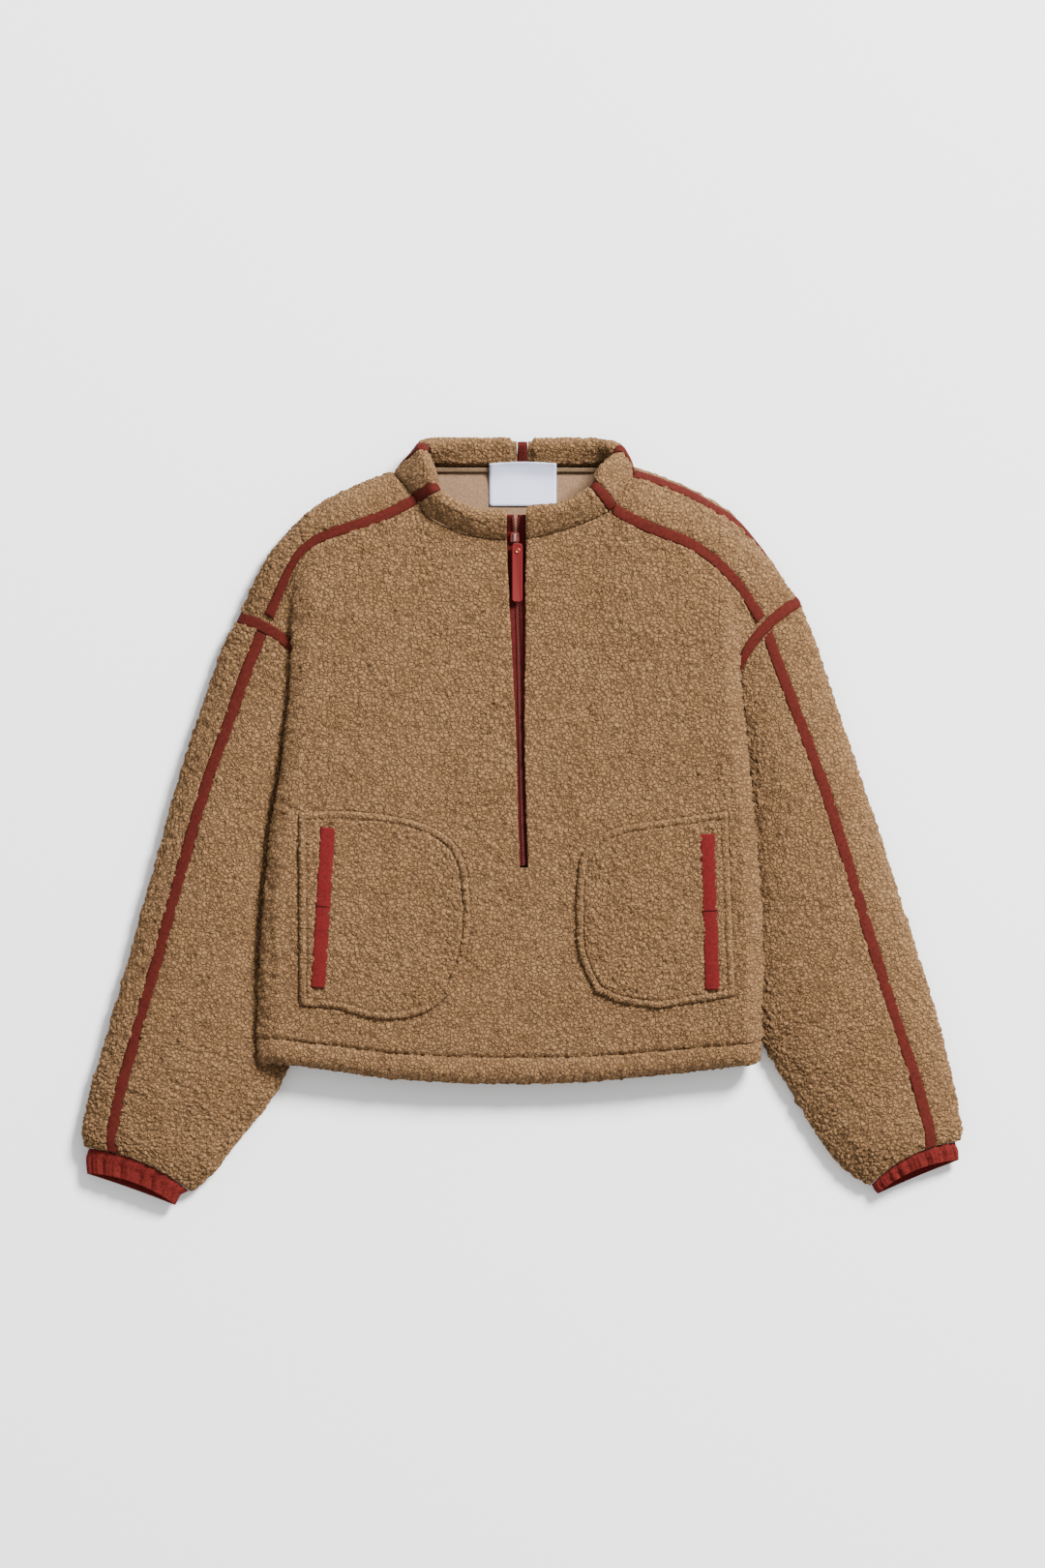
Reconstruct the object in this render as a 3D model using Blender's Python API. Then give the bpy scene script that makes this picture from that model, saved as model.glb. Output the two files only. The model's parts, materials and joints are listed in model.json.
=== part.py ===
"""Half-zip pullover of deep-pile fleece, laid flat with its front up.

Millimetres in the tables, metres in the meshes. The floor is z = 0, +Y runs from the hem to the collar,
+X is the picture's right. The origin is under the middle of the garment. Every cut piece is a wall of
cloth between an outer grid of points and the same grid moved in by the cloth's thickness.
"""
import bpy
import numpy as np

for item in list(bpy.data.objects):
    bpy.data.objects.remove(item)

MM = 0.001
CLOTH = 4.0          # fleece with its backing, without the loose ends of the pile
SEAM_GAP = 0.3       # between two cut pieces at a seam, and under a piece that lies on another
TAPE_WIDTH = 11.0
TAPE_THICK = 1.2
TAPE_LIFT = 0.45     # a tape's height over the smooth shape of the panels that it covers
LEVEL = 11.0         # height of the outermost edge of a laid tube above the floor
CORNER = 14.0        # how far in from that edge the tube's underside reaches the floor
HALF_TUBE = 55.0     # half width of the laid tube at the armhole
PILE_STAND = 2.5     # how far the pile stands proud of these solids at the outline
BACK_SEAM = -0.085   # place of the back seam round a tube, just under its outer edge
ARM_BOW = 14.5       # how far the armhole seam bows up from a straight line
END_BOW = 7.0        # and the sleeve's end

# Colour, roughness and metallic value of each material.
FLEECE = ("deep_pile_fleece", (0.337, 0.194, 0.104), 0.95, 0.0)
TAPE = ("woven_tape", (0.168, 0.031, 0.018), 0.80, 0.0)
RIB = ("gathered_cuff_cloth", (0.184, 0.030, 0.022), 0.80, 0.0)
PULL = ("rubber_pull", (0.305, 0.043, 0.040), 0.50, 0.0)
METAL = ("painted_slider", (0.240, 0.035, 0.030), 0.40, 0.3)
RIVET = ("brass_rivet", (0.72, 0.55, 0.40), 0.35, 1.0)
SATIN = ("label_satin", (0.62, 0.64, 0.72), 0.50, 0.0)
BINDING = ("knitted_binding", (0.250, 0.140, 0.075), 0.85, 0.0)

# Seam between the front and the shoulder strip, from the collar to the armhole, and the garment's outline
# beside it. Columns: front_x, front_y, side_x, side_y, height of the laid shoulder, place of the back seam.
SHOULDER = {
    "left": [
        (-101, 307, -125, 332.5, 41, -0.085),
        (-125, 294, -152, 323, 42, -0.085),
        (-151, 284, -178, 311, 42, -0.085),
        (-177, 276, -203, 296, 41, -0.085),
        (-198, 267, -223, 276, 39, -0.085),
        (-214, 253, -240, 256, 37, -0.085),
        (-226, 234, -254, 232, 34, -0.085),
        (-237, 211, -263, 212, 32, -0.085),
        (-249, 187, -270.5, 194.6, 30, -0.085),
    ],
    "right": [
        (85, 297, 108, 336, 41, 0.125),
        (105, 286, 133, 328, 42, 0.125),
        (128, 276, 157, 318, 42, 0.12),
        (152, 267, 182, 303.5, 41, 0.11),
        (174, 254, 203, 288.5, 39, 0.08),
        (193, 237, 224, 264, 37, 0.01),
        (207, 222, 242, 239, 34, -0.06),
        (220, 203, 252, 223, 32, -0.085),
        (232, 186, 262.2, 211.1, 30, -0.085),
    ],
}
# Where along that seam the front's side fold starts.
FOLD_START = {"left": 0.475, "right": 0.60}

# Laid sleeve, from the armhole to its end. Columns: outer_x, outer_y, inner_x, inner_y, height, distance
# of the front seam from the outer edge.
SLEEVE = {
    "left": [
        (-270.5, 194.6, -191.4, 118.2, 30, 22),
        (-287, 164, -203, 92, 30, 27),
        (-306, 109, -217, 47, 30, 28),
        (-327, 45, -228, -11, 30, 26),
        (-350, -38, -234, -80, 30, 24),
        (-371, -112, -230, -139, 30, 25),
        (-390, -181, -219, -196, 30, 25),
        (-402, -222, -224, -230, 30, 26),
        (-411, -252, -242, -264, 30, 26),
        (-417, -277, -266, -294, 29, 27),
        (-420, -297, -293, -329, 28, 26),
        (-416, -309, -317, -351, 26, 24),
    ],
    "right": [
        (262.2, 211.1, 192, 104, 30, 37.5),
        (277, 173, 198, 82, 30, 40),
        (297, 114, 203, 42, 30, 38),
        (320, 45, 208, -10, 30, 35),
        (346, -34, 214, -72, 30, 36),
        (371, -112, 218, -130, 30, 38),
        (391, -176, 221, -176, 30, 39),
        (401, -213, 230, -211, 30, 37),
        (408, -242, 249, -244, 30, 34),
        (414, -273, 273, -284, 29, 31),
        (417, -294, 300, -323, 28, 28),
        (413, -303, 330, -345, 26, 25),
    ],
}

# Side of the front below the underarm, from the hem up. Columns: y, then x and z of the crest, of the
# outermost fold, of the ledge that lies over the sleeve, of the foot beside the sleeve, and x of the side
# seam, where front and back meet on the floor.
SIDE = {
    "left": [
        (-229, -238, 36, -250, 29, -237, 24, -214, 9, -203),
        (-200, -240, 38, -252, 30, -238, 25, -211, 9, -200),
        (-170, -239, 40, -251, 31, -239, 25, -214, 9, -203),
        (-138, -236, 41, -249, 32, -240, 26, -222, 9, -211),
        (-92, -233, 42, -246, 33, -240, 25, -226, 9, -215),
        (-44, -229, 42, -242, 33, -236, 25, -224, 9, -213),
        (2, -224, 42, -237, 33, -231, 25, -219, 9, -208),
        (48, -215, 43, -229, 34, -222, 26, -209, 10, -198),
        (92, -209, 43, -224, 35, -216, 28, -197, 11, -185),
    ],
    "right": [
        (-225, 209, 36, 223, 27, 221, 18, 216, 6, 204),
        (-200, 210, 38, 224, 28, 222, 19, 217, 7, 205),
        (-170, 210, 40, 224, 30, 221, 21, 215, 8, 203),
        (-138, 212, 41, 226, 31, 221, 23, 213, 9, 202),
        (-92, 211, 42, 225, 33, 219, 24, 210, 9, 199),
        (-44, 208, 42, 221.5, 33, 216, 25, 206, 9, 195),
        (2, 204, 42, 217.5, 33, 212, 25, 201.5, 9, 190),
        (48, 200, 43, 213, 34, 207, 26, 197, 10, 186),
        (92, 195, 43, 208.5, 35, 202, 28, 190, 11, 179),
    ],
}
# The same beside the armhole. Columns: place round the armhole, then x, y and z of the crest, the fold,
# the ledge and the foot; the row ends on the armhole seam.
ARM_SIDE = {
    "left": [
        (0.96, -207, 118, 43.5, -221, 118, 36, -212, 118, 29, -198, 118, 20),
        (0.82, -206, 140, 44, -220, 139, 37, -213, 137, 31, -203, 132, 26),
        (0.66, -204.5, 166, 44, -218.5, 164, 38, -214, 160, 32.5, -208, 153, 29.5),
        (0.52, -203, 196, 43.5, -217, 193, 37, -218.5, 185, 31.5, -219.5, 176, 29.5),
        (0.40, -201, 231, 42, -214, 223, 36.5, -220, 210, 32, -228, 194, 30),
    ],
    "right": [
        (0.96, 193, 112, 43.5, 206.5, 112, 36, 200, 111, 29, 194.5, 109, 20),
        (0.82, 191.5, 130, 44, 204.5, 129, 37, 200, 126, 31, 197, 121, 25),
        (0.66, 190.5, 152, 44, 203, 150, 37.5, 202.5, 146, 32.5, 202, 142, 29),
        (0.52, 189.5, 178, 43.5, 201.5, 176, 37, 205, 172, 32, 209, 167, 30.5),
        (0.43, 188.5, 208, 42, 200, 203, 36.5, 207, 195, 32.5, 215, 186, 30.5),
    ],
}
CENTRE_HEIGHT = [33, 35, 36, 37, 38, 39]      # front's height on its middle line, hem to collar
HEM = [(-238, -229), (-195, -234), (-127, -244), (-60, -248), (0, -248.5), (60, -247), (140, -239),
       (209, -231)]                           # front's lower edge: x, y
HEM_GROOVE = 24.0                             # stitching above the edge
SLIT_FOOT = -44.0                             # lower end of the zip opening, y

# Collar seam on the front, from the zip to the shoulder strip: x, y.
NECK = {
    "left": [(-16, 268), (-44, 270.5), (-70, 278.5), (-91, 290), (-101, 307)],
    "right": [(2.5, 268.5), (31, 275), (54, 282.5), (72, 290), (85, 297)],
}
# Collar, from the zip round to the middle of the back. Columns: crest_x, crest_y, crest_z, inner_x,
# inner_y, inner_z. The outer lower edge follows the seam with the body.
COLLAR = {
    "left": [
        (-16, 286, 47, -16, 279, 33),
        (-42, 289, 48.5, -41, 282, 33),
        (-62, 297, 49.5, -63, 290, 33),
        (-77, 306, 50, -81, 299, 32),
        (-86, 315, 50, -90, 308, 30),
        (-90, 332, 46, -99, 322, 24),
        (-97, 352, 30, -109, 336, 13),
        (-84, 357, 17, -90, 340, 10),
        (-60, 357, 13, -60, 339, 9.5),
        (-33, 357, 12, -33, 339, 9.5),
        (-6.3, 357, 12, -6.3, 339, 9.5),
    ],
    "right": [
        (3, 286, 47, 3, 279, 33),
        (29, 292, 48.5, 29, 285, 33),
        (48, 301, 49.5, 49, 293, 33),
        (61, 308, 50, 64, 301, 32),
        (70, 316, 50, 75, 308, 30),
        (77, 331, 46, 86, 322, 24),
        (92, 349, 31, 92, 335, 28),
        (76, 356, 19, 80, 341, 13),
        (56, 357, 13, 56, 339, 9.5),
        (32, 357, 12, 32, 339, 9.5),
        (4.4, 357, 12, 4.4, 339, 9.5),
    ],
}
COLLAR_SIDE_ROW = 4      # the row of that table at the seam between the front collar and its side
COLLAR_BACK_ROW = 6      # and at the seam between its side and its back
NECK_BACK_Y = 335.0      # collar seam of the back, y
CREST_RADIUS = 5.0

# Pocket patch: corner and edge points of the D, x and y, from its upper outer corner round by the middle.
POCKET = {
    "left": [(-214, 8), (-162, 9), (-112, 2), (-80, -10), (-62, -27), (-54, -48), (-51, -89), (-56, -130),
             (-72, -166), (-97, -183), (-137, -188), (-178, -178), (-213, -175)],
    "right": [(194, 9), (150, 3), (100, -4), (73, -14), (56, -32), (51, -60), (51, -111), (56, -136),
              (69, -162), (92, -172), (126, -177), (157, -173), (201, -166)],
}
POCKET_THICK = 2.6
WELT = {"left": ((-186.3, -6), (-195.5, -158)), "right": ((175, -12), (180, -160))}
WELT_WIDTH = 14.0

CUFF_WALL = 2.0
CUFF_WAVES = 18          # gathers round a cuff
CUFF_WAVE = 0.9
# Free end of each cuff: outer_x, outer_y, inner_x, inner_y; the second row is the middle of the cuff.
CUFF = {
    "left": [(-415, -311, -323, -350), (-416, -322, -327, -357), (-415, -335, -331, -365)],
    "right": [(412, -306, 331, -346), (413.5, -314, 334, -351), (414, -322, 337, -354)],
}
CUFF_BOW = 9.0           # how much shorter the cuff is on its upper side

ZIP_TOP = 291.0          # upper end of the zip tapes, y
ZIP_STATIONS = [(291, -7.5, 8.5), (262, -7, 8), (220, -6.6, 6.8), (150, -4.5, 5.4), (90, -3.4, 4.0),
                (0, -1.2, 4.0), (-44, 0.3, 4.0)]   # y, x of the zip's middle, half width of the opening
SLIDER_Y = 272.0
CHAIN_WIDTH = 4.6


# ---- curves and grids -------------------------------------------------------------------------------

def along(rows, t):
    """Smooth curve through a table's rows; t from 0 to 1 runs from the first row to the last."""
    rows = np.asarray(rows, float)
    last = len(rows) - 1
    place = np.clip(np.asarray(t, float), 0, 1) * last
    i = np.minimum(place.astype(int), last - 1)
    f = (place - i)[..., None]
    slope = np.gradient(rows, axis=0)
    a, b, sa, sb = rows[i], rows[i + 1], slope[i], slope[i + 1]
    return (a * (1 + 2 * f) * (1 - f) ** 2 + sa * f * (1 - f) ** 2
            + b * f * f * (3 - 2 * f) - sb * f * f * (1 - f))


def unit(v):
    """Vectors of length 1."""
    return v / np.maximum(np.linalg.norm(v, axis=-1, keepdims=True), 1e-9)


def ease(x, low, high):
    """Smooth step from 0 at low to 1 at high."""
    f = np.clip((np.asarray(x, float) - low) / (high - low), 0, 1)
    return f * f * (3 - 2 * f)


def xyz(xy, z):
    """Points from plan positions and heights."""
    z = np.broadcast_to(z, xy.shape[:-1])
    return np.concatenate([xy, z[..., None]], axis=-1)


def laid_tube(half, height, a):
    """Cross-section of a laid tube: offset from its middle, height, and the direction out of its wall.

    a = 0 is the outer edge; up to 1 it runs over the top, an arc of an ellipse, to the inner edge; down to
    -1 it runs round the lower corner, flat along the floor, and round the inner corner. The inside of the
    wall is the same section with each of its half axes shorter by the cloth.
    """
    a = (np.asarray(a, float) + 1) % 2 - 1
    top = np.pi * np.clip(a, 0, 1)
    corner = np.pi / 2 * np.clip(-a / 0.25, 0, 1)
    inner_corner = np.pi / 2 * np.clip((a + 1) / 0.25, 0, 1)
    flat = np.clip((-a - 0.25) / 0.5, 0, 1)
    rise = np.sin(top)
    lift = np.where(top > np.pi / 2, rise * (0.62 + 0.38 * rise ** 2), rise)
    parts = [a >= 0, a > -0.25, a > -0.75]
    out = np.select(parts, [np.cos(top), np.cos(corner), 0 * a], -np.cos(inner_corner))
    up = np.select(parts, [lift, -np.sin(corner), 0 * a - 1], -np.sin(inner_corner))
    x = np.select(parts, [half * out, half - CORNER * (1 - out), (half - CORNER) * (1 - 2 * flat)],
                  CORNER * (1 + out) - half)
    z = LEVEL + np.where(a >= 0, height - LEVEL, LEVEL) * up
    return x, z, out, up


def tube_points(outer, inner, height, bow, a):
    """Points of a laid tube's section, in plan bowed up, and the directions out of its wall."""
    middle = (outer + inner) / 2
    span = outer - inner
    half = np.linalg.norm(span, axis=-1) / 2
    out = span / (2 * half[..., None])
    across = np.stack([-out[..., 1], out[..., 0]], axis=-1)
    across = across * np.where(across[..., 1:] < 0, -1, 1)
    x, z, wall_out, wall_up = laid_tube(half, height, a)
    share = x / half
    plan = middle + out * x[..., None] + across * (bow * (1 - share ** 2))[..., None]
    run = unit(out + across * (-2 * bow * share / half)[..., None])
    return xyz(plan, z), xyz(run * wall_out[..., None], wall_up)


def sleeve_points(side, s, a):
    """Sleeve surface: s from the armhole to the sleeve's end, a round the tube."""
    s, a = np.broadcast_arrays(np.asarray(s, float), np.asarray(a, float))
    row = along(SLEEVE[side], s)
    outer, inner = row[..., 0:2], row[..., 2:4]
    outward = unit(outer - inner)
    bow = ARM_BOW * (1 - ease(s, 0.0, 0.25)) + END_BOW * ease(s, 0.8, 1.0)
    return tube_points(outer - PILE_STAND * outward, inner, row[..., 4], bow, a)


def front_seam(side, s):
    """Place round the sleeve of the seam with the front, from its distance to the outer edge."""
    row = along(SLEEVE[side], s)
    half = np.linalg.norm(row[..., 0:2] - row[..., 2:4], axis=-1) / 2
    return np.arccos(1 - row[..., 5] / half) / np.pi


def underarm_seam(side, s):
    """Place round the sleeve of the underarm seam; on the left it shows near the cuff."""
    return -1.0 - (0.10 if side == "left" else 0.0) * ease(s, 0.6, 0.75)


def shoulder_points(side, t, q):
    """Shoulder strip and the back's turned edge: t from collar to armhole, q from the front seam at 0 to
    the back seam at 1 and on to the floor at 2."""
    t, q = np.broadcast_arrays(np.asarray(t, float), np.asarray(q, float))
    own, own_normal = shoulder_tube(side, t, q)
    last, last_normal = shoulder_tube(side, np.ones_like(t), q)
    a_front = front_seam(side, np.zeros_like(t))
    a = np.where(q <= 1, a_front + (BACK_SEAM - a_front) * q, BACK_SEAM + (-0.25 - BACK_SEAM) * (q - 1))
    arm, arm_normal = sleeve_points(side, np.zeros_like(t), a)
    blend = ease(t, 0.45, 1.0)[..., None]
    return own + (arm - last) * blend, own_normal + (arm_normal - last_normal) * blend


def shoulder_tube(side, t, q):
    """The same strip without its blend into the armhole."""
    row = along(SHOULDER[side], t)
    front, outline = row[..., 0:2], row[..., 2:4]
    inward = unit(front - outline)
    reach = np.linalg.norm(front - outline, axis=-1)
    outer = outline + PILE_STAND * inward
    inner = outer + 2 * HALF_TUBE * inward
    a_front = np.arccos(1 - (reach - PILE_STAND) / HALF_TUBE) / np.pi
    a_back = row[..., 5]
    a_own = np.where(q <= 1, a_front + (a_back - a_front) * q, a_back + (-0.25 - a_back) * (q - 1))
    return tube_points(outer, inner, row[..., 4], np.zeros_like(t), a_own)


def normals_of(points, up):
    """Unit normals of a grid of points, turned to the side of the vector up at its middle."""
    n = unit(np.cross(np.gradient(points, axis=0), np.gradient(points, axis=1)))
    middle = n[n.shape[0] // 2, n.shape[1] // 2]
    return n if middle @ np.asarray(up, float) > 0 else -n


def upright(points, down=False):
    """Directions square to a seam, in the vertical curtain over it."""
    run = unit(np.gradient(points, axis=0))
    z = np.array([0, 0, -1.0 if down else 1.0])
    return unit(z - (run @ z)[:, None] * run)


# ---- solids -----------------------------------------------------------------------------------------

collection = bpy.data.collections.new("fleece_pullover")
bpy.context.scene.collection.children.link(collection)
materials = {}


def material(kind):
    """One Principled material for each kind of cloth or trim."""
    name, colour, roughness, metallic = kind
    if name not in materials:
        made = bpy.data.materials.new(name)
        made.use_nodes = True
        shader = made.node_tree.nodes["Principled BSDF"]
        shader.inputs["Base Color"].default_value = (*colour, 1.0)
        shader.inputs["Roughness"].default_value = roughness
        shader.inputs["Metallic"].default_value = metallic
        materials[name] = made
    return materials[name]


def add_object(name, points, faces, kind, origin=(0.0, 0.0, 0.0)):
    """A named solid from points in millimetres and its faces, turned so that they point out."""
    points = np.round(np.asarray(points, float).reshape(-1, 3), 3)
    volume = 0.0
    for face in faces:
        for i in range(1, len(face) - 1):
            volume += points[face[0]] @ np.cross(points[face[i]], points[face[i + 1]])
    if volume < 0:
        faces = [face[::-1] for face in faces]
    mesh = bpy.data.meshes.new(name)
    mesh.from_pydata(((points - np.asarray(origin)) * MM).tolist(), [], faces)
    mesh.update()
    mesh.shade_smooth()
    mesh.set_sharp_from_angle(angle=np.radians(50))
    item = bpy.data.objects.new(name, mesh)
    item.location = np.asarray(origin) * MM
    item.data.materials.append(material(kind))
    collection.objects.link(item)
    return item


def pull_in(grid, gap):
    """How far each edge point of a grid moves so that the piece ends half a seam gap short."""
    move = np.zeros_like(grid)
    move[0] += unit(grid[1] - grid[0]) * gap
    move[-1] += unit(grid[-2] - grid[-1]) * gap
    move[:, 0] += unit(grid[:, 1] - grid[:, 0]) * gap
    move[:, -1] += unit(grid[:, -2] - grid[:, -1]) * gap
    return move


def grid_faces(rows, columns, skip=None):
    """Quads of a wall: outer grid, inner grid, and a strip along every edge between them."""
    index = np.arange(rows * columns).reshape(rows, columns)
    keep = np.ones((rows - 1, columns - 1), bool)
    if skip is not None:
        keep &= ~skip
    faces, edges = [], {}
    for r in range(rows - 1):
        for c in range(columns - 1):
            if keep[r, c]:
                ring = [index[r, c], index[r, c + 1], index[r + 1, c + 1], index[r + 1, c]]
                ring = [int(i) for i in ring]
                faces.append(ring)
                for k in range(4):
                    edges[(ring[k], ring[(k + 1) % 4])] = True
    below = rows * columns
    walls = [[b, a, a + below, b + below] for (a, b) in edges if (b, a) not in edges]
    return faces + [[i + below for i in ring[::-1]] for ring in faces] + walls


def wall(name, outer, normals, thick, kind, gap=SEAM_GAP / 2, skip=None):
    """A wall of cloth between a grid of outer points and the same points moved in by its thickness."""
    move = pull_in(outer, gap)
    top = outer + move
    under = outer - normals * thick + move
    faces = grid_faces(outer.shape[0], outer.shape[1], skip)
    used = np.unique(np.array([i for face in faces for i in face]))
    place = {int(old): new for new, old in enumerate(used)}
    points = np.concatenate([top.reshape(-1, 3), under.reshape(-1, 3)])[used]
    return add_object(name, points, [[place[i] for i in face] for face in faces], kind)


def swept(name, rings, kind, origin=(0.0, 0.0, 0.0)):
    """A solid through rings of points, each end closed by a ladder of triangles across its ring."""
    count, size = rings.shape[0], rings.shape[1]
    faces = []
    for r in range(count - 1):
        a, b = r * size, (r + 1) * size
        for c in range(size):
            d = (c + 1) % size
            faces.append([a + c, a + d, b + d, b + c])
    low, high, cap = 0, size - 1, []
    while high - low > 1:
        cap.append([low, low + 1, high])
        low += 1
        if high - low > 1:
            cap.append([low, high - 1, high])
            high -= 1
    faces += [ring[::-1] for ring in cap]
    faces += [[(count - 1) * size + i for i in ring] for ring in cap]
    return add_object(name, rings, faces, kind, origin)


def laid_on(name, under, thick, kind, up, lift=TAPE_LIFT):
    """A tape or patch made from a grid of a panel's own points: moved out by lift, then by its thickness."""
    normals = normals_of(under, up)
    return wall(name, under + normals * (lift + thick), normals, thick, kind, gap=0.0)


# ---- the body ---------------------------------------------------------------------------------------

HEM_STEPS = [0.0, 2.5, 7.0, 13.0, 19.0, 22.0, 24.5, 27.0]   # rows near the hem, mm above it
FLAP_SHARES = np.array([0, 0.09, 0.17, 0.25, 0.375, 0.5, 0.75, 1.0])
FLAP_LINES = np.array([0, 0.25, 0.5, 0.75, 1.0])
YOKE_COLUMNS = 5
NECK_COLUMNS = 5
NECK_SHARE, SLIT_SHARE = 0.30, 0.47          # where the neck and the slit start across the front's top
SIDE_ROWS = len(SIDE["left"])
LAST_ROW = SIDE_ROWS + len(ARM_SIDE["left"])
SLIT_ROW = 5                                 # the row of the side table at the slit's foot
BACK_ARM = [-0.92, -0.75, -0.60, -0.42, -0.25]


def shoulder_places(side):
    """Where the columns of the front, the shoulder strip and the back meet the shoulder seams."""
    fold = FOLD_START[side]
    return np.concatenate([np.linspace(0, fold, YOKE_COLUMNS)[:-1], fold + (1 - fold) * FLAP_SHARES])


def side_lines(side):
    """Six lines of points up the side of the front: on its top, crest, fold, ledge, foot and seam."""
    low, high = np.array(SIDE[side], float), np.array(ARM_SIDE[side], float)
    fold = FOLD_START[side]
    ends, _ = shoulder_points(side, fold + (1 - fold) * FLAP_LINES, 0.0)
    seam, _ = sleeve_points(side, np.zeros(len(high)), high[:, 0])
    lines = []
    for k in range(5):
        y = low[:, 0]
        if k < 4:
            below = np.stack([low[:, 1 + 2 * k], y, low[:, 2 + 2 * k]], axis=-1)
            beside = high[:, 1 + 3 * k:4 + 3 * k]
        else:
            below = np.stack([low[:, 9], y, np.zeros(len(low))], axis=-1)
            beside = seam
        lines.append(np.concatenate([below, beside, ends[k][None]]))
    toward = 1.0 if side == "left" else -1.0
    lines.insert(0, lines[0] + [12.0 * toward, 0, 0])
    return np.stack(lines)


SIDE_LINES = {side: side_lines(side) for side in ("left", "right")}


def centre_line():
    """Middle of the front from hem to collar, a point for each row."""
    y = (SIDE_LINES["left"][1][:, 1] + SIDE_LINES["right"][1][:, 1]) / 2
    y[0], y[1], y[2], y[3] = -248.5, y[1] - 17, y[2] - 9, y[3] - 4
    y[SLIT_ROW], y[-1] = SLIT_FOOT, 268.3
    z = along(np.array(CENTRE_HEIGHT, float)[:, None], np.linspace(0, 1, len(y)))[:, 0]
    return y, z


CENTRE_Y, CENTRE_Z = centre_line()


def slit_edges(v):
    """Left and right edge of the zip opening at the rows v, carried on down to the hem."""
    line = along(np.stack([CENTRE_Y, CENTRE_Z], axis=-1), v / LAST_ROW)
    zip_rows = np.array(ZIP_STATIONS, float)[::-1]
    middle = np.interp(line[..., 0], zip_rows[:, 0], zip_rows[:, 1])
    half = np.interp(line[..., 0], zip_rows[:, 0], zip_rows[:, 2])
    left = np.stack([middle - half, line[..., 0], line[..., 1]], axis=-1)
    right = np.stack([middle + half, line[..., 0], line[..., 1]], axis=-1)
    return left, right


def neck_height(side, t):
    """Height of the collar seam on the front: from the zip, t = 0, to the shoulder strip."""
    corner, _ = shoulder_points(side, 0.0, 0.0)
    return CENTRE_Z[-1] + (corner[2] - CENTRE_Z[-1]) * ease(t, 0, 1)


def front_top(w):
    """Upper edge of the front from the left fold, w = 0, to the right fold, w = 1."""
    w = np.asarray(w, float)
    out = np.zeros(w.shape + (3,))
    for side, place in (("left", w), ("right", 1 - w)):
        t = FOLD_START[side] * (1 - np.clip(place / NECK_SHARE, 0, 1))
        yoke, _ = shoulder_points(side, t, 0.0)
        n = 1 - np.clip((place - NECK_SHARE) / (SLIT_SHARE - NECK_SHARE), 0, 1)
        neck = xyz(along(NECK[side], n), neck_height(side, n))
        neck[..., :] = np.where((n >= 1)[..., None], yoke, neck)
        mine = place <= 0.5
        out[mine] = np.where((place <= NECK_SHARE)[..., None], yoke, neck)[mine]
    return out


def front_dome(w, v):
    """Front between its two folds: w across it, v the row from the hem at 0 to the collar at LAST_ROW."""
    w, v = np.broadcast_arrays(np.asarray(w, float), np.asarray(v, float))
    crest = {side: along(SIDE_LINES[side][1], v / LAST_ROW) for side in ("left", "right")}
    left, right = slit_edges(v)
    share = np.clip(w / SLIT_SHARE, 0, 1)[..., None]
    share_right = np.clip((1 - w) / SLIT_SHARE, 0, 1)[..., None]
    between = np.clip((w - SLIT_SHARE) / (1 - 2 * SLIT_SHARE), 0, 1)[..., None]
    from_right = crest["right"] + (right - crest["right"]) * share_right
    inside = np.where(share_right < 1, from_right, left + (right - left) * between)
    base = np.where(share < 1, crest["left"] + (left - crest["left"]) * share, inside)
    puff = np.where(share < 1, 1 - share, 1 - share_right)[..., 0] ** 2.2
    edge = np.where(w < 0.5, crest["left"][..., 2], crest["right"][..., 2])
    base[..., 2] = left[..., 2] + (edge - left[..., 2]) * puff
    return base


def front_points(w, v):
    """The same with the hem's and the upper edge's own lines blended in, and the hem's relief."""
    w, v = np.broadcast_arrays(np.asarray(w, float), np.asarray(v, float))
    base = front_dome(w, v)
    top = front_top(w) - front_dome(w, np.full_like(w, LAST_ROW))
    hem_base = front_dome(w, np.zeros_like(w))
    hem = np.array(HEM, float)
    drop = np.interp(hem_base[..., 0], hem[:, 0], hem[:, 1]) - hem_base[..., 1]
    points = base + top * (ease(v, 6.0, LAST_ROW) ** 1.3)[..., None]
    points[..., 1] += drop * (1 - ease(v, 0.0, 4.0))
    height = along(np.stack([CENTRE_Y, CENTRE_Z], axis=-1), v / LAST_ROW)[..., 0] - CENTRE_Y[0]
    points[..., 2] += hem_relief(height)
    return points


def hem_relief(distance):
    """Height added near the front's hem: a rounded edge, a full roll and the groove of its stitching."""
    return (-6.0 * np.exp(-(distance / 3.5) ** 2) + 1.6 * np.exp(-((distance - 12) / 6.0) ** 2)
            - 2.0 * np.exp(-((distance - HEM_GROOVE) / 2.2) ** 2))


def flap_points(side, p, v):
    """Side of the front beyond the crest: p = 0 on the crest, 1 on the side seam or armhole."""
    p, v = np.broadcast_arrays(np.asarray(p, float), np.asarray(v, float))
    lines = np.stack([along(line, v / LAST_ROW) for line in SIDE_LINES[side]])
    last = len(lines) - 2
    place = p * last
    i = np.minimum(place.astype(int), last - 1)
    f = (place - i)[..., None]

    def line_at(k):
        return np.take_along_axis(lines, np.clip(k, 0, last + 1)[None, ..., None], axis=0)[0]

    a, b = line_at(i + 1), line_at(i + 2)
    after = np.where((i + 3 <= last + 1)[..., None], line_at(i + 3), 2 * b - a)
    sa, sb = (b - line_at(i)) / 2, (after - a) / 2
    points = (a * (1 + 2 * f) * (1 - f) ** 2 + sa * f * (1 - f) ** 2
              + b * f * f * (3 - 2 * f) - sb * f * f * (1 - f))
    height = along(np.stack([CENTRE_Y, CENTRE_Z], axis=-1), v / LAST_ROW)[..., 0] - CENTRE_Y[0]
    points[..., 2] += hem_relief(height) * (1 - p) ** 4
    return points


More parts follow.
